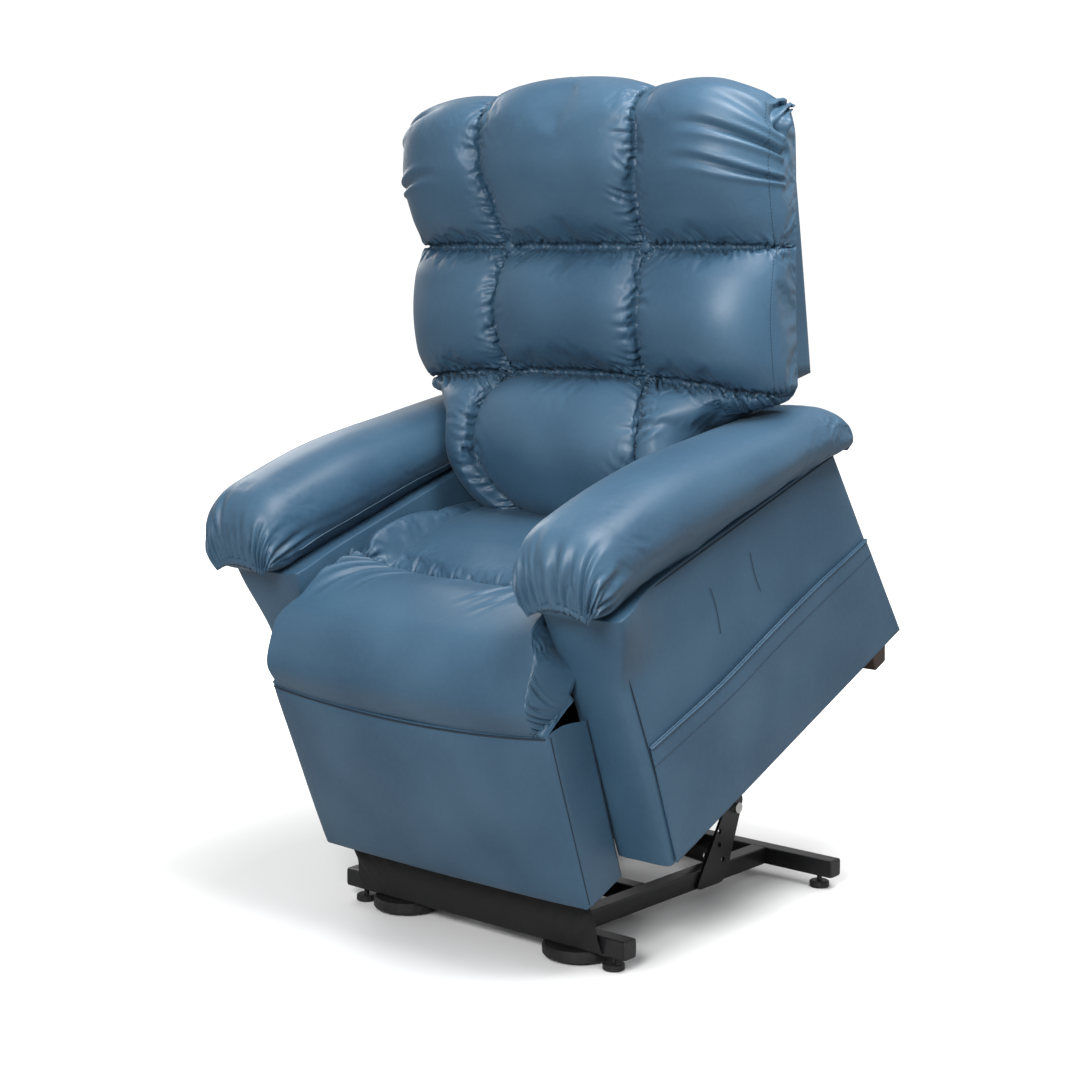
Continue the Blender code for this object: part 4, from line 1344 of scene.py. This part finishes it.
for u, word in ((1, "left"), (-1, "right")):
    dressed(button("back_button_" + word, u), "back")
    column = int(np.argmin(np.abs(U[0] - 1.78 * u)))
    for low, high, part in ((1.06, 1.94, "middle"), (2.06, 2.80, "upper")):
        rows = (V[:, 0] > low) & (V[:, 0] < high)
        line = BACK_NOW[rows, column] + BACK_OUT[rows, column] * 0.0004
        dressed(stitches("boxing_stitches_" + part + "_" + word, line, BACK_OUT[rows, column], 0.0045,
                         0.0020, 0.0006, THREAD), "back")

# %% [markdown]
# At the top left corner the pleats of the cover are drawn together into a knot.  A black
# plastic clip behind it holds the cover to the edge of the outer back.

# %% Corner knot and clip
def knot():
    """A twisted bead: a ball whose radius has a three-lobed wave that turns along its length."""
    row, column = int(np.argmin(np.abs(V[:, 0] - KNOT_V))), int(np.argmin(np.abs(U[0] - KNOT_U)))
    centre = BACK_NOW[row, column] + BACK_OUT[row, column] * 0.002
    angle = np.linspace(0.08, math.pi - 0.08, 30)[:, None]
    turn = np.linspace(0, 2 * math.pi, 48, endpoint=False)[None, :]
    size = 0.0105 * np.sin(angle) * (1.0 + 0.16 * np.cos(3 * turn + 5 * angle))
    reach = 0.0170 * np.cos(angle)
    return centre, tube("corner_knot", centre + np.stack(
        [size * np.cos(turn) + 0.2 * reach, reach + 0 * turn, size * np.sin(turn) - 0.3 * reach], -1), LEATHER)


KNOT_CENTRE, KNOT = knot()
dressed(KNOT, "back")


def clip():
    """A flat rounded strap that runs back from the knot: an oval section along a short arc."""
    t = np.linspace(0.0, 1.0, 20)
    line = KNOT_CENTRE + np.stack([0.006 - 0.030 * t * t, 0.008 + 0.078 * t, -0.004 - 0.034 * t], -1)
    return swept("corner_clip", line, (1.0, 0.0, 0.0), 0.0090, 0.0028, FINISHES["black_plastic"], 16)


dressed(clip(), "back")
print("knot at", KNOT_CENTRE.round(3))

# %% [markdown]
# A black cloth skirt hangs between the footrest and the front crossbar.  It is gathered towards
# the ends of the bar, so it falls in slanting folds.

# %% Skirt
SKIRT_HALF = 0.300


def skirt():
    """Grid of share across and share up; slanting waves, deepest near both ends of the bar."""
    across = np.linspace(-1.0, 1.0, 181)[None, :]
    rise = np.linspace(0.0, 1.0, 41)[:, None]
    x = across * SKIRT_HALF * (1.0 - 0.02 * rise)
    slant = np.abs(across) - 0.32 * rise
    waves = np.sin(slant * 46.0) * 0.5 + np.sin(slant * 29.0 + 1.0) * 0.5
    depth = 0.0045 * smooth((np.abs(across) - 0.45) / 0.45) * np.sin(np.pi * rise) ** 0.7
    y = -0.0200 - 0.029 * rise - 0.006 * np.sin(np.pi * rise) + waves * depth
    z = 0.029 + 0.137 * rise - 0.004 * np.sin(np.pi * (across + 1) / 2) * rise
    return world(x, y + 0 * x, z + 0 * x)


SKIRT_GRID = skirt()
SKIRT = piece("cloth_skirt", SKIRT_GRID.reshape(-1, 3),
              quads_of(np.arange(41 * 181).reshape(41, 181)).tolist(), FINISHES["black_cloth"])
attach(SKIRT, "base")
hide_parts("front_skirt")
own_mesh(SKIRT)
print("skirt", SKIRT_GRID.shape)

# %% [markdown]
# The open ends of the base tubes are closed by plastic plugs with a thin domed rim.

# %% Base details
def end_cap(name, x, y):
    """A plastic plug in a tube's end: a rounded square that is domed on the outside."""
    turn = np.linspace(0, 2 * math.pi, 40, endpoint=False)[None, :]
    steps = np.array([-0.010, -0.0005, 0.0, 0.0015, 0.0024, 0.0028])[:, None]
    half = np.array([0.0148, 0.0150, 0.0172, 0.0172, 0.0160, 0.0120])[:, None]
    square = (np.abs(np.cos(turn)) ** 8 + np.abs(np.sin(turn)) ** 8) ** (-1 / 8)
    side = math.copysign(1.0, x)
    points = world(x + side * steps + 0 * turn, y + half * square * np.cos(turn),
                   0.0435 + half * square * np.sin(turn))
    return tube(name, points, FINISHES["black_plastic"])


BAR_END = float(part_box("front_crossbar")[1][0])
print("crossbar ends at", round(BAR_END, 4))
REAR_Y = float(sum(corner[1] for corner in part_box("rear_crossbar")) / 2) - SHIFT
for y, row in ((0.0, "front"), (REAR_Y, "rear")):
    for side, word in ((1.0, "left"), (-1.0, "right")):
        dressed(end_cap("end_cap_" + row + "_" + word, side * (BAR_END + 0.0003), y), "base")
